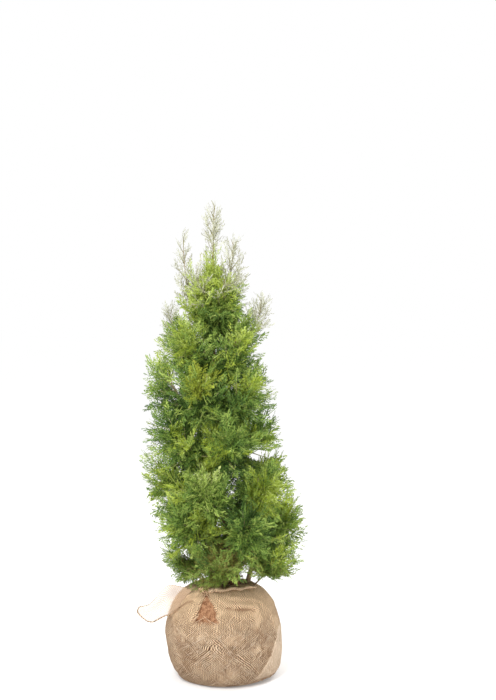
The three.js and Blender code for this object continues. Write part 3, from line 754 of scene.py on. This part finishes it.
leaf_total = 0
for tier in [*(row[0] for row in TIERS), "spires"]:
    parts, tints = [], []
    for index, limb in enumerate(limbs):
        if limb.tier != tier:
            continue
        random = seeded(9000 + index)
        for frond in growths[index][1]:
            kinds = lacy_fronds if frond[4] else full_fronds
            pattern, faces, youth = kinds[int(random(0, len(kinds)))]
            ladder, rung = tint_of(frond[0] + frond[1] * frond[3] * 0.5, limb, frond[4], random)
            parts.append((placed_frond(frond, pattern, random), faces))
            tints.append(rung_indices(ladder, rung + YOUTH_LIFT * youth))
    leaves = joined_mesh(f"leaves_{tier}", parts, np.concatenate(tints), leaf_materials)
    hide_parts(*[f"foliage_{limb.name}" for limb in limbs if limb.tier == tier])
    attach(leaves, "root")
    leaf_total += len(leaves.data.polygons)
    print(leaves.name, len(leaves.data.polygons), "triangles")
print("leaves in all:", leaf_total, "triangles")

# %% [markdown]
# ## Bark
# Thuja bark is thin and reddish brown, and peels in long narrow strips. The strips follow the limb,
# so the relief is a noise that is stretched along it. The trunk is drawn out of one ring, step by
# step, and its skin is then pushed out and in along those strips.

# %% Wood finishes
def bark_finish(name, dark, light, streaks):
    finish = Finish(name, 0.85)
    place = finish.place()
    fibre = finish.noise(finish.stretched(place, (1.0, 1.0, streaks)), 260.0, 4.0, 0.6)
    patches = finish.noise(place, 24.0)
    tone = finish.mix(fibre.step(0.36, 0.66), colour(dark), colour(light))
    finish.set(base_color=finish.mix(patches.step(0.5, 0.75) * 0.35, tone, colour("8a8468")))
    finish.bump(fibre, 0.0012)
    return finish.material


bark = bark_finish("fibrous_bark", "4a2e20", "96694a", 0.09)
young_bark = bark_finish("young_bark", "6a563c", "a08a66", 0.2)
twig_bark = bark_finish("green_twig", "77754a", "a09c6c", 0.3)
print("bark, young bark and green twig")


# %% Draw a limb out of a ring
def draw_limb(bm, points, radii, sides):
    """A round limb through points in millimetres: a ring, extruded and turned from point to point."""
    points = [Vector(p) * 0.001 for p in points]
    aims = [(b - a).normalized() for a, b in zip(points, points[1:])]
    aims.append(aims[-1])
    turn = Vector((0, 0, 1)).rotation_difference(aims[0])
    place = Matrix.Translation(points[0]) @ turn.to_matrix().to_4x4()
    ring = bmesh.ops.create_circle(bm, cap_ends=True, radius=radii[0] * 0.001, segments=sides, matrix=place)
    verts = ring["verts"]
    edges = list(dict.fromkeys(edge for vert in verts for edge in vert.link_edges))
    every = list(verts)
    for i in range(1, len(points)):
        made = bmesh.ops.extrude_edge_only(bm, edges=edges)["geom"]
        verts = [v for v in made if isinstance(v, bmesh.types.BMVert)]
        edges = [e for e in made if isinstance(e, bmesh.types.BMEdge) and all(v in verts for v in e.verts)]
        twist = aims[i - 1].rotation_difference(aims[i]).to_matrix().to_4x4()
        size = Matrix.Scale(radii[i] / radii[i - 1], 4)
        move = Matrix.Translation(points[i]) @ twist @ size @ Matrix.Translation(-points[i - 1])
        bmesh.ops.transform(bm, matrix=move, verts=verts)
        every += verts
    bmesh.ops.edgeloop_fill(bm, edges=edges)
    return every


def finished_piece(name, bm, material):
    """The bmesh as a piece that faces outwards and rides with the plant."""
    bmesh.ops.remove_doubles(bm, verts=bm.verts, dist=1e-6)
    bmesh.ops.recalc_face_normals(bm, faces=bm.faces)
    for face in bm.faces:
        face.smooth = True
    mesh = bpy.data.meshes.new(name)
    bm.to_mesh(mesh)
    bm.free()
    piece = add_piece(mesh, [material])
    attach(piece, "root")
    print(name, sum(len(p.vertices) - 2 for p in mesh.polygons), "triangles")
    return piece


# %% The trunk
FLARE, FLARE_FADE, ROOT_RIDGES, ROOT_FADE = 6, 16, 0.16, 12  # the foot widens, with five ridges
STRIP_DEPTH, RIB_DEPTH = 0.11, 0.06
trunk_heights = np.concatenate([np.linspace(SOIL_LEVEL, 420, 60), np.linspace(430, TRUNK.top, 60)])
trunk_share = (trunk_heights - SOIL_LEVEL) / (TRUNK.top - SOIL_LEVEL)
trunk_radii = lerp(TRUNK.foot_radius, TRUNK.top_radius, trunk_share)
trunk_radii += FLARE * np.exp(-(trunk_heights - SOIL_LEVEL) / FLARE_FADE)
trunk_bm = bmesh.new()
draw_limb(trunk_bm, trunk_at(trunk_heights), trunk_radii, 28)
for vert in trunk_bm.verts:
    height = vert.co.z * 1000
    middle = Vector(trunk_at(height)) * 0.001
    out = vert.co - middle
    turn = math.atan2(out.y, out.x)
    strips = noise.noise(Vector((2.6 * math.cos(turn), 2.6 * math.sin(turn), height * 0.016)))
    ribs = noise.noise(Vector((7 * math.cos(turn), 7 * math.sin(turn), height * 0.03 + 9)))
    ridges = ROOT_RIDGES * math.exp(-(height - SOIL_LEVEL) / ROOT_FADE) * math.sin(5 * turn)
    swell = 1 + STRIP_DEPTH * strips + RIB_DEPTH * ribs + ridges
    if abs(height - SOIL_LEVEL) > 0.5:
        vert.co = middle + out * swell
trunk = finished_piece("bark_trunk", trunk_bm, bark)
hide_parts("trunk")

# %% [markdown]
# The boughs leave the trunk inside its bark and taper to the tips of the leafy masses. Three thin
# stems rise from the ball beside the trunk. The twigs that carry the fronds are so many that they
# are one joined mesh of four-sided tubes, made from arrays.

# %% Boughs and basal stems
SPIRE_WOOD = 0.6  # the upright shoots are young wood, drawn thinner than their rule's radius
BOUGH_SIDES, GRAIN_SCALE, GRAIN_DEPTH = 8, 160, 0.00012
bough_bm = bmesh.new()
for limb in limbs:
    shares = np.linspace(0, 1, 15)
    ends = limb.at(shares)
    if not limb.stem and limb.name != "leader":
        ends[0] = lerp(ends[0], ends[1], 0.15)
    verts = draw_limb(bough_bm, ends, limb.radius(shares) * (SPIRE_WOOD if limb.upright else 1), BOUGH_SIDES)
    for vert in verts:
        grain = [noise.noise(vert.co * GRAIN_SCALE + Vector((shift,) * 3)) for shift in (0, 5)]
        vert.co += Vector((*grain, 0)) * limb.thick * GRAIN_DEPTH
boughs = finished_piece("bark_boughs", bough_bm, young_bark)
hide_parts(*[limb.stem or f"bough_{limb.name}" for limb in limbs if limb.bare > 0])


# %% Twigs
TWIG_TIP = 0.7  # a twig's radius at its tip


def twig_arrays(root, direction, length, thick):
    shares = np.array([0, 0.5, 1.0])
    spine = root + direction * length * shares[:, None]
    side = unit(np.cross(direction, UP + 0.01))
    other = np.cross(direction, side)
    ways = (side, other, -side, -other)
    rings = [spine[i] + lerp(thick, TWIG_TIP, shares[i]) * way for i in range(3) for way in ways]
    faces = []
    for i in range(2):
        for k in range(4):
            a, b = 4 * i + k, 4 * i + (k + 1) % 4
            faces += [(a, b, a + 4), (b, b + 4, a + 4)]
    faces += [(8, 9, 10), (8, 10, 11)]
    return np.array(rings), np.array(faces)


twig_parts = [twig_arrays(*shoot) for shoots, _ in growths for shoot in shoots]
twigs = joined_mesh("twigs", twig_parts, 0, [twig_bark])
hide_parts(*[f"foliage_{limb.name}" for limb in limbs])
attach(twigs, "root")
print("twigs", len(twigs.data.polygons), "triangles")

# %% [markdown]
# ## The root ball
# The ball is soil in a square of hessian, whose corners are drawn up and knotted. Its outline is the
# solid's own, spun round by bmesh. Then the skin is moved: the slow lumps of the soil, the pleats
# where the cloth is gathered under the stems, and the folds that run to the knot. Each fold is a
# line on the ball that lifts the cloth, or sinks it, within a few millimetres of it.

# %% The ball's outline
BALL = SimpleNamespace(
    radius=160, height=BALL_HEIGHT, waist=122, foot=104, top=74, below=0.72, above=1.08, sag=11
)


def ball_outline(angle):
    """Radius and height of the outline, for an angle from -90 at the foot to 90 at the top."""
    a = math.radians(angle)
    flat, rise, fullness = BALL.top, BALL.height - BALL.waist, BALL.above
    if a < 0:
        flat, rise, fullness = BALL.foot, BALL.waist, BALL.below
    out, up = max(math.cos(a), 0) ** fullness, math.copysign(abs(math.sin(a)) ** fullness, a)
    return flat + (BALL.radius - flat) * out, BALL.waist + rise * up


def ball_lump(turn, height):
    """The lumps and the low bulge that soil gives the sack."""
    share = np.clip(height / BALL.height, 0, 1)
    lumps = 3.2 * np.sin(2 * turn + 0.6) + 2.6 * np.sin(3 * turn - 1.1 + height / 95)
    lumps = lumps + 1.8 * np.sin(5 * turn + 2 + height / 60)
    bulge = BALL.sag * np.cos(turn) * np.maximum(1 - height / BALL.waist, 0) * np.minimum(share * 20, 1)
    return lumps * np.sqrt(np.maximum(np.sin(math.pi * share), 0)) + bulge


OUTLINE = np.array([ball_outline(angle) for angle in np.linspace(-90, 90, 361)])


def ball_radius(height, turn):
    return np.interp(height, OUTLINE[:, 1], OUTLINE[:, 0]) + ball_lump(turn, height)


def front_point(x, height, out=0.0):
    """The point of the ball's front that has this x and height, standing out from it, in millimetres."""
    turn = -math.pi / 2
    for _ in range(6):
        radius = float(ball_radius(height, turn)) + out
        turn = -math.acos(max(min(x / radius, 1), -1))
    return np.array([x, radius * math.sin(turn), height])


def side_point(turn, height, out=0.0):
    angle = math.radians(turn)
    radius = float(ball_radius(height, angle)) + out
    return np.array([radius * math.cos(angle), radius * math.sin(angle), height])


print("the ball is", OUTLINE[:, 0].max() * 2, "mm wide")

# %% Folds, pleats and the opening below the knot
FOLDS = [
    # points on the ball's front as x and height, how far it stands up or sinks, how wide it is
    ([(-50, 251), (-60, 236), (-72, 214), (-86, 186), (-94, 150)], 4.5, 5.5),
    ([(-42, 252), (-22, 236), (-8, 220), (-6, 200), (-14, 168)], 5.0, 5.5),
    ([(-34, 252), (-8, 240), (24, 228), (62, 223), (98, 214)], 6.5, 6.5),
    ([(14, 218), (40, 213), (66, 211), (86, 206)], -6.0, 4.0),
    ([(-20, 250), (16, 244), (58, 240), (92, 230), (118, 206)], 3.6, 5.0),
    ([(4, 236), (40, 232), (70, 230)], -2.6, 4.0),
    ([(30, 204), (58, 192), (92, 186), (120, 182)], 3.0, 6.0),
    ([(-60, 250), (-96, 240), (-124, 222), (-146, 196)], 5.5, 5.0),
    ([(-74, 232), (-104, 222), (-128, 198)], -4.0, 5.0),
    ([(-70, 240), (-92, 206), (-104, 172), (-108, 132)], 3.0, 8.0),
    ([(20, 224), (44, 196), (60, 170), (64, 140)], 2.8, 8.0),
    ([(96, 232), (122, 206), (138, 170), (144, 130)], 3.2, 7.0),
    ([(-128, 172), (-88, 136), (-40, 112), (16, 104)], 2.6, 7.0),
    ([(-120, 150), (-84, 122), (-44, 100)], -2.6, 6.0),
    ([(30, 136), (70, 100), (96, 66), (104, 34)], 3.0, 7.0),
    ([(-130, 90), (-110, 50), (-84, 22)], 3.2, 6.0),
    ([(-70, 96), (-56, 58), (-50, 24)], 2.6, 7.0),
    ([(-20, 84), (14, 54), (24, 20)], 2.4, 7.0),
]
BACK_FOLDS = [
    # the same for folds at the sides and the back, as turn in degrees and height
    ([(40, 250), (52, 214), (60, 160), (58, 100)], 4.0, 7.0),
    ([(86, 252), (84, 218), (92, 170), (98, 110)], 4.4, 7.0),
    ([(128, 250), (134, 206), (140, 150), (136, 90)], 4.0, 8.0),
    ([(176, 248), (178, 210), (170, 160), (174, 104)], 4.2, 7.0),
    ([(108, 90), (118, 50), (122, 18)], 3.0, 8.0),
    ([(24, 200), (44, 168), (70, 150), (96, 146)], 3.0, 8.0),
    ([(100, 236), (112, 190), (118, 150)], -3.0, 6.0),
]
# The gap between the two drawn-up edges: its left and right edge at each height, and where it ends below.
OPENING_END = (172, 190)
OPENING_HEIGHTS = (186, 214, 238, 252)
OPENING_LEFT, OPENING_RIGHT = (-79, -66, -55, -46), (-11, -17, -33, -46)


def distance_to_line(points, line):
    """How far each point is from a row of straight pieces."""
    best = np.full(len(points), FAR)
    for a, b in zip(line, line[1:]):
        share = np.clip((points - a) @ (b - a) / ((b - a) @ (b - a)), 0, 1)
        best = np.minimum(best, np.linalg.norm(points - (a + share[:, None] * (b - a)), axis=1))
    return best


def bare_share(points):
    """1 in the gap, where an inner layer shows, with a soft lower end."""
    height = points[:, 2]
    left, right = (np.interp(height, OPENING_HEIGHTS, edge) for edge in (OPENING_LEFT, OPENING_RIGHT))
    inside = np.minimum(points[:, 0] - left, right - points[:, 0])
    frayed = 3 * np.sin(height * 0.31) + 2 * np.sin(points[:, 0] * 0.7 + height * 0.17)
    return smoothstep(inside + frayed, -1, 4) * smoothstep(height + frayed, *OPENING_END) * (points[:, 1] < 0)


def fine_line(points):
    """A row of points with its corners rounded off."""
    points = np.array(points, float)
    shares = np.linspace(0, len(points) - 1, 4 * len(points))
    smooth = np.stack([np.interp(shares, range(len(points)), points[:, k]) for k in range(3)], 1)
    smooth[1:-1] = (smooth[:-2] + 2 * smooth[1:-1] + smooth[2:]) / 4
    return smooth


fold_lines = [(fine_line([front_point(x, h) for x, h in line]), up, wide) for line, up, wide in FOLDS]
fold_lines += [(fine_line([side_point(t, h) for t, h in line]), up, wide) for line, up, wide in BACK_FOLDS]
print(len(fold_lines), "folds")


# %% The cloth's relief
GATHER_FROM, PLEAT_DEPTH, SLOW_DEPTH, QUICK_DEPTH, INNER_DEPTH = 214, 2.4, 2.4, 1.9, -5


def cloth_relief(points):
    """How far the cloth stands out from the plain ball at each point, in millimetres."""
    turn = np.arctan2(points[:, 1], points[:, 0])
    height = points[:, 2]
    gathered = smoothstep(height, GATHER_FROM, BALL_HEIGHT)
    pleats = np.abs(np.sin(11 * turn + 0.8 * np.sin(3 * turn) + height * 0.006)) - 0.5
    slow = np.array([noise.noise(Vector(p) * 0.018) for p in points])
    quick = np.array([noise.noise(Vector(p) * 0.06) for p in points])
    relief = PLEAT_DEPTH * gathered * pleats + SLOW_DEPTH * slow
    relief += QUICK_DEPTH * quick * smoothstep(height, 0, 30)
    for line, up, wide in fold_lines:
        relief = relief + up * np.exp(-((distance_to_line(points, line) / wide) ** 2))
    return lerp(relief, INNER_DEPTH + 1.6 * quick, bare_share(points))


print("relief below the knot:", cloth_relief(np.array([front_point(-50, 240)])).round(1), "mm")

# %% [markdown]
# ## Hessian
# Hessian is a loose plain weave of jute. Two families of threads cross, each dipping under the next,
# and between them are small gaps through which the soil shows. The weave is worked out from the
# cloth's own flat coordinates, turned to the bias, so it follows the folds. Threads differ in colour,
# one family stands out here and the other there, and in places their fibres have matted and close the
# gaps. Soil has stained the cloth. Its foot is darkened with painted shade, and its top is lightened
# with painted light, where the cloth is also cleaner. In the opening an inner layer shows, rust brown.
# Where the cloth is drawn in, painted shade darkens the crease.

# %% The hessian finish
THREAD_PITCH, FINE_PITCH, WEAVE_TURN = 0.0049, 0.0044, math.radians(45)


def hessian_finish(name, thread, straw, gap, pitch=THREAD_PITCH, sheer=False, stained=0.4, soiled=0.4):
    finish = Finish(name, 0.95)
    place = finish.place()

    def spots(scale, detail, rough, low, high):
        return finish.noise(place, scale, detail, rough).step(low, high)

    flat = finish.node("ShaderNodeUVMap", {"uv_map": "cloth"})
    turned = finish.node("ShaderNodeMapping", {}, {"Vector": flat, "Rotation": (0, 0, WEAVE_TURN)})
    sway, drift = finish.noise(flat, 5.0), finish.noise(flat, 30.0)
    across = finish.axis(turned, "X") * (1 / pitch) + sway * 9.0 + drift * 2.2
    along = finish.axis(turned, "Y") * (1 / pitch) - sway * 7.0 + drift * 2.2
    zone = spots(30.0, 1.0, 0.5, 0.42, 0.58)
    threads = []
    for one, other, offset, pulled in ((across, along, 0.0, zone), (along, across, 37.0, 1 - zone)):
        number = one.math("FLOOR")
        own = finish.node("ShaderNodeTexWhiteNoise", {"noise_dimensions": "1D"}, {"W": number + offset})
        body = 1 - (one.math("FRACT") - 0.5).math("ABSOLUTE").step(0.12, 0.4)
        above = ((other * 0.5 + number * 0.5).math("FRACT") - 0.5).math("ABSOLUTE") * 2.0
        threads.append((body, body * (above * 0.3 + 0.3) * (pulled * 0.9 + 0.5), own))
    (body_a, high_a, own_a), (body_b, high_b, own_b) = threads
    high = high_a.math("MAXIMUM", high_b)
    fibres = finish.noise(place, 420.0, 3.0, 0.7)
    height = finish.axis(place, "Z")
    cloth = finish.mix((own_a + own_b) * 0.3 + 0.2, colour(thread), colour(straw))
    for share, tone in (
        (fibres.step(0.5, 0.7) * 0.6, "f6e4ca"),
        ((1 - fibres.step(0.32, 0.5)) * 0.65, "6f4d33"),
        (spots(15.0, 4.0, 0.6, 0.46, 0.7) * stained, "8c6545"),  # slow stains
        (spots(74.0, 3.0, 0.6, 0.5, 0.68) * soiled, "86603f"),  # small stains
        (spots(170.0, 2.0, 0.5, 0.6, 0.7) * soiled * 1.8, "573c28"),  # crumbs of soil
        (spots(150.0, 2.0, 0.5, 0.56, 0.7) * 0.5, "f4e2c8"),  # pale fluff
        ((1 - height.step(0.0, 0.075)) * 0.3, "7a5c42"),  # painted shade at the foot
        (height.step(0.12, 0.24) * 0.85, "ffdcb2"),  # painted light on the top, where the cloth is also cleaner
    ):
        cloth = finish.mix(share, cloth, colour(tone))
    felted = spots(23.0, 2.0, 0.5, 0.5, 0.68)
    cloth = finish.mix(high.step(0.12, 0.55) * (1 - felted * 0.5) + felted * 0.45, colour(gap), cloth)
    patchy = spots(110.0, 3.0, 0.6, 0.35, 0.65)
    inner = finish.mix(high.step(0.1, 0.8) * 0.5 + patchy * 0.5, colour("6b402a"), colour("cf9f79"))
    cloth = finish.mix(finish.attribute("bare"), cloth, inner)
    # painted shade in the creases, where the cloth sinks
    finish.set(base_color=finish.mix(finish.attribute("crease_shade") * 0.65, cloth, colour("7a553a")))
    finish.set(specular_ior_level=0.1)
    finish.bump(high + fibres * 0.4, 0.0022)
    if sheer:
        near_ball = finish.axis(place, "X").step(-0.168, -0.13)
        finish.set(alpha=body_a.math("MAXIMUM", body_b) * 0.4 + 0.16 + near_ball * 0.2)
        finish.set(base_color=finish.mix(near_ball, cloth, colour("cdaf93")))
    return finish.material


hessian = hessian_finish("hessian", "bb9877", "ffe4c0", "4c3422")
rust_hessian = hessian_finish("rust_hessian", "9c6b49", "b98a66", "553420", FINE_PITCH, stained=0.7)
# a lighter, cleaner hessian; on the band it is painted light
lighter_hessian = hessian_finish("lighter_hessian", "d8c1a7", "f7e4cb", "b0967c", stained=0.1, soiled=0.2)
sheer_hessian = hessian_finish("sheer_hessian", "e2d1c4", "f6ede4", "cdb8a6", FINE_PITCH, True, 0.1, 0.1)
print("four kinds of hessian")


# %% The wrapped ball
def lay_flat(bm, uv_of):
    """The cloth's flat coordinates, in metres, on every face."""
    layer = bm.loops.layers.uv.new("cloth")
    for face in bm.faces:
        middle = face.calc_center_median()
        for loop in face.loops:
            loop[layer].uv = uv_of(loop.vert.co, middle)


BALL_ROWS, BALL_STEPS = 76, 216
CREASE_SHADE_FROM, CREASE_SHADE_TO = 0.6, 5  # painted shade darkens the cloth where it sinks, in millimetres
RIM_FROM, RIM_TO = 236, 257  # between these heights the relief turns from outwards to upwards
ball_bm = bmesh.new()
profile = [(0.0, 0.0), (BALL.foot / 2, 0.0)]
profile += [tuple(p) for p in OUTLINE[np.linspace(0, 360, BALL_ROWS).astype(int)]]
profile += [(BALL.top * s, BALL_HEIGHT) for s in np.linspace(0.16, 0.92, 9)[::-1]]
ring = [ball_bm.verts.new((r * 0.001, 0, h * 0.001)) for r, h in profile]
spun = {"geom": ring + [ball_bm.edges.new(pair) for pair in zip(ring, ring[1:])], "steps": BALL_STEPS}
bmesh.ops.spin(ball_bm, cent=(0, 0, 0), axis=(0, 0, 1), angle=2 * math.pi, use_merge=True, **spun)
bmesh.ops.remove_doubles(ball_bm, verts=ball_bm.verts, dist=1e-6)
ball_bm.verts.ensure_lookup_table()
plain = np.array([v.co for v in ball_bm.verts]) * 1000
radius = np.hypot(plain[:, 0], plain[:, 1])
turn = np.arctan2(plain[:, 1], plain[:, 0])
swollen = plain.copy()
grown = 1 + np.where(radius > 1, ball_lump(turn, plain[:, 2]) / np.maximum(radius, 1), 0)
swollen[:, :2] *= grown[:, None]
relief = cloth_relief(swollen)
on_top = smoothstep(plain[:, 2], RIM_FROM, RIM_TO)
out = np.stack([np.cos(turn) * (1 - on_top), np.sin(turn) * (1 - on_top), on_top], 1)
fades = smoothstep(plain[:, 2], 0.5, 12)
swollen += out * (relief * fades)[:, None]
neck = 1 - smoothstep(radius, 12, 80)
gathers = 3.0 * np.sin(13 * turn) * smoothstep(radius, 8, 40) - 3.5
swollen[:, 2] += np.where(plain[:, 2] > BALL_HEIGHT - 1, neck * gathers, 0)
# this layer holds the painted shade for where the cloth sinks
crease_shade_layer = ball_bm.verts.layers.float.new("crease_shade")
bare_layer = ball_bm.verts.layers.float.new("bare")
bare = bare_share(swollen)
for i, vert in enumerate(ball_bm.verts):
    vert[bare_layer] = bare[i]
    vert[crease_shade_layer] = (1 - bare[i]) * smoothstep(-relief[i], CREASE_SHADE_FROM, CREASE_SHADE_TO)
    vert.co = Vector(swollen[i]) * 0.001
bmesh.ops.holes_fill(ball_bm, edges=[e for e in ball_bm.edges if e.is_boundary], sides=0)


def ball_uv(co, middle):
    """Metres round the ball and up it. The cloth's two ends meet at the left, behind the loose corner."""
    turn, here = math.atan2(co.y, co.x), math.atan2(middle.y, middle.x)
    turn += 2 * math.pi * round((here - turn) / (2 * math.pi))
    rim = math.hypot(co.x, co.y)
    return turn * 0.16, co.z * 1.15 + (0.16 - rim) * (0.9 if co.z > 0.12 else -0.9)


lay_flat(ball_bm, ball_uv)
ball = finished_piece("hessian_ball", ball_bm, hessian)
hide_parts("root_ball")

# %% [markdown]
# ## Knot, rolls and hems
# Where cloth is pulled tight it turns into rope-like rolls, so the knot, the band to the right of it
# and the two edges of the opening are tubes with a twisted, ribbed skin. The knot is one such roll
# wound round almost twice, with one end hanging out.


# %% Rolled cloth
def ribbed_roll(bm, line, radius_at, sides=14, ribs=3, twist=0.12, depth=0.16, flat=1.0):
    """A roll of cloth along a line in millimetres, with ribs that wind round it."""
    line = np.array(line, float)
    radii = [radius_at(i / (len(line) - 1)) for i in range(len(line))]
    verts = draw_limb(bm, line, radii, sides)
    for i, vert in enumerate(verts):
        row, around = divmod(i, sides)
        rib = math.sin(ribs * 2 * math.pi * around / sides + row * twist * ribs)
        middle = Vector(line[row]) * 0.001
        away = (vert.co - middle) * (1 + depth * rib)
        away.z *= flat
        vert.co = middle + away


def roll_uv(co, middle):
    return co.x + co.y, co.z + 0.7 * co.y


def rolled_piece(name, material, *rolls):
    """A piece of one or more rolls, each given as its line, its radius along it, and its manner."""
    bm = bmesh.new()
    for line, radius_at, manner in rolls:
        ribbed_roll(bm, line, radius_at, **manner)
    lay_flat(bm, roll_uv)
    return finished_piece(name, bm, material)


def smooth_path(points, count):
    """A curve through points by the Catmull-Rom rule."""
    p = np.array(points, float)
    p = np.concatenate([[2 * p[0] - p[1]], p, [2 * p[-1] - p[-2]]])
    path = []
    for share in np.linspace(0, len(points) - 1 - 1e-9, count):
        i, t = int(share), share - int(share)
        a, b, c, d = p[i : i + 4]
        start = 2 * b + (c - a) * t + (2 * a - 5 * b + 4 * c - d) * t**2
        path.append(0.5 * (start + (3 * b - a - 3 * c + d) * t**3))
    return np.array(path)


# %% The knot, the band and the hems
KNOT_MIDDLE, KNOT_SWEEP = np.array([-52, -85, 261.5]), 4 * math.pi * 0.93
KNOT_END = [(-48, -92, 262), (-44, -100, 258), (-43, -106, 248)]
BAND = [
    (-42, -91, 257), (-22, -88, 261), (2, -86, 258.5), (26, -77, 262), (48, -68, 258.5), (70, -52, 260),
    (92, -34, 254),
]


def knot_point(a):
    """A loop that rises and dips, so that its two rounds cross."""
    across, deep = 8.5 * math.cos(a) + 2.6 * math.cos(3 * a), 8 * math.sin(a)
    return KNOT_MIDDLE + (across, deep, 4.5 * math.sin(2 * a + 0.6))


def band_radius(t):
    """The band thins to the right, and is lumpy."""
    return lerp(8.2, 4.2, t) + 1.1 * math.sin(11 * t) + 0.5 * math.sin(31 * t)


loop = [knot_point(a) for a in np.linspace(0, KNOT_SWEEP, 60)]
knot = rolled_piece(
    "tied_knot", rust_hessian,
    (loop, lambda t: 5.2 - 1.4 * abs(2 * t - 1), {"twist": 0.3}),
    (smooth_path(KNOT_END, 12), lambda t: 4 - 2 * t, {"twist": 0.3}),
)
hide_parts("hessian_knot")

band_manner = {"ribs": 4, "twist": 0.2, "depth": 0.2, "flat": 0.72}
# the band takes the lighter hessian as painted light, since the crown above shades it
band = rolled_piece("twisted_band", lighter_hessian, (smooth_path(BAND, 70), band_radius, band_manner))
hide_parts("hessian_roll")

hem_rolls = []
for edge in (OPENING_LEFT, OPENING_RIGHT):
    path = smooth_path([front_point(x, h, 1.0) for x, h in zip(edge, OPENING_HEIGHTS)][::-1], 36)
    hem_rolls.append((path, lambda t: 2.4 - 1.8 * t + 0.4 * math.sin(17 * t), {"twist": 0.2, "flat": 0.9}))
hems = rolled_piece("opening_hems", hessian, *hem_rolls)

# %% [markdown]
# ## The loose corners
# One corner of the square was left free and stands off to the left. Light comes through its open
# weave, so it needs see-through gaps as well as threads, and only its rolled hem is solid. Another
# layer laps round the right side. Both start as a flat grid that a surface rule carries into place.


# %% Cloth from a grid
def cloth_grid(bm, surface, across, along, size):
    """A grid whose corners are moved to surface(u, v), in millimetres."""
    made = bmesh.ops.create_grid(bm, x_segments=across, y_segments=along, size=0.5)["verts"]
    layer = bm.loops.layers.uv.new("cloth")
    for face in dict.fromkeys(f for v in made for f in v.link_faces):
        for loop in face.loops:
            loop[layer].uv = ((loop.vert.co.x + 0.5) * size[0], (loop.vert.co.y + 0.5) * size[1])
    for vert in made:
        vert.co = Vector(surface(vert.co.x + 0.5, vert.co.y + 0.5)) * 0.001


# %% The loose corner
EAR_STEPS = 40
EAR_TOP = [
    (-88, -66, 254), (-120, -64, 266), (-152, -62, 268), (-182, -62, 238), (-204, -60, 214), (-233, -58, 206),
]
EAR_LOW = [
    (-132, -60, 192), (-146, -61, 186), (-160, -62, 183), (-178, -62, 174), (-194, -61, 167),
    (-210, -60, 168),
]
ear_top, ear_low = (smooth_path(edge, EAR_STEPS + 1) for edge in (EAR_TOP, EAR_LOW))


def ear_surface(u, v):
    """From the low edge at v = 0 to the top edge at v = 1, with ripples between them."""
    point = lerp(ear_low[round(u * EAR_STEPS)], ear_top[round(u * EAR_STEPS)], v)
    point[0] -= 14 * smoothstep(u, 0.55, 1.0) * math.sin(math.pi * v) * u
    ripples = 8 * math.sin(2.6 * math.pi * v + 1.5 * u) * math.sin(math.pi * (0.15 + 0.7 * u))
    point[1] -= ripples + 3 * math.sin(9 * u + 4 * v)
    return point


ear_bm = bmesh.new()
cloth_grid(ear_bm, ear_surface, EAR_STEPS, 24, (0.17, 0.08))
ear = finished_piece("loose_corner", ear_bm, sheer_hessian)
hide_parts("hessian_ear")

rim = [ear_surface(u, 0.0) for u in np.linspace(0.1, 1, 28)]
rim += [ear_surface(1.0, v) for v in np.linspace(0.08, 1, 12)]
rim += [ear_surface(u, 1.0) for u in np.linspace(0.97, 0.05, 28)]
rim_roll = (rim, lambda t: lerp(1.7, 0.6, smoothstep(t, 0.5, 0.7)), {"sides": 8, "ribs": 2})
ear_hem = rolled_piece("loose_corner_hem", hessian, rim_roll)
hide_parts("hessian_ear")


# %% The lapped layer
LAP_HEIGHTS, LAP_FRONT, LAP_BACK = (15, 151), (-60, -16), 47  # millimetres, then turns in degrees
LAP_SUNK, LAP_PROUD = -2.2, 4.2  # its edges tuck in under the ball's skin, and the rest lies on it


def lap_surface(u, v):
    height, turn = lerp(*LAP_HEIGHTS, v), lerp(lerp(*LAP_FRONT, v**0.85), LAP_BACK, u)
    tucked = smoothstep(min(u * 1.4, 1 - u, v, 1 - v), 0, 0.07)
    out = LAP_SUNK + LAP_PROUD * tucked + 0.7 * math.sin(11 * v + 3 * u) * (1 - u)
    return side_point(turn, height, out + float(cloth_relief(side_point(turn, height)[None])[0]))


lap_bm = bmesh.new()
cloth_grid(lap_bm, lap_surface, 48, 24, (0.27, 0.14))
lap = finished_piece("lapped_layer", lap_bm, lighter_hessian)
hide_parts("hessian_lap")

# %% [markdown]
# Jute frays. Loose threads lie over the front of the ball, each a thin tube that wanders a little.

# %% Loose threads
LOOSE_THREADS, THREAD_RADIUS = 150, 0.75
thread_bm = bmesh.new()
random = seeded(4242)
for _ in range(LOOSE_THREADS):
    x, height = random(-130, 130), random(12, 200)
    heading, length = random(0.5, 1.1) * (1 if random() < 0.6 else -1), random(10, 44)
    bow = random(-0.25, 0.25)
    path = []
    for s in np.linspace(-0.5, 0.5, 9):
        px = x + length * (s * math.cos(heading) + bow * (0.25 - s * s) * math.sin(heading))
        ph = height + length * (s * math.sin(heading) - bow * (0.25 - s * s) * math.cos(heading))
        path.append(front_point(max(min(px, 140), -140), max(min(ph, 240), 8), 1.6 + random(0, 1.6)))
    draw_limb(thread_bm, path, [THREAD_RADIUS] * 9, 4)
lay_flat(thread_bm, roll_uv)
threads = finished_piece("loose_threads", thread_bm, lighter_hessian)
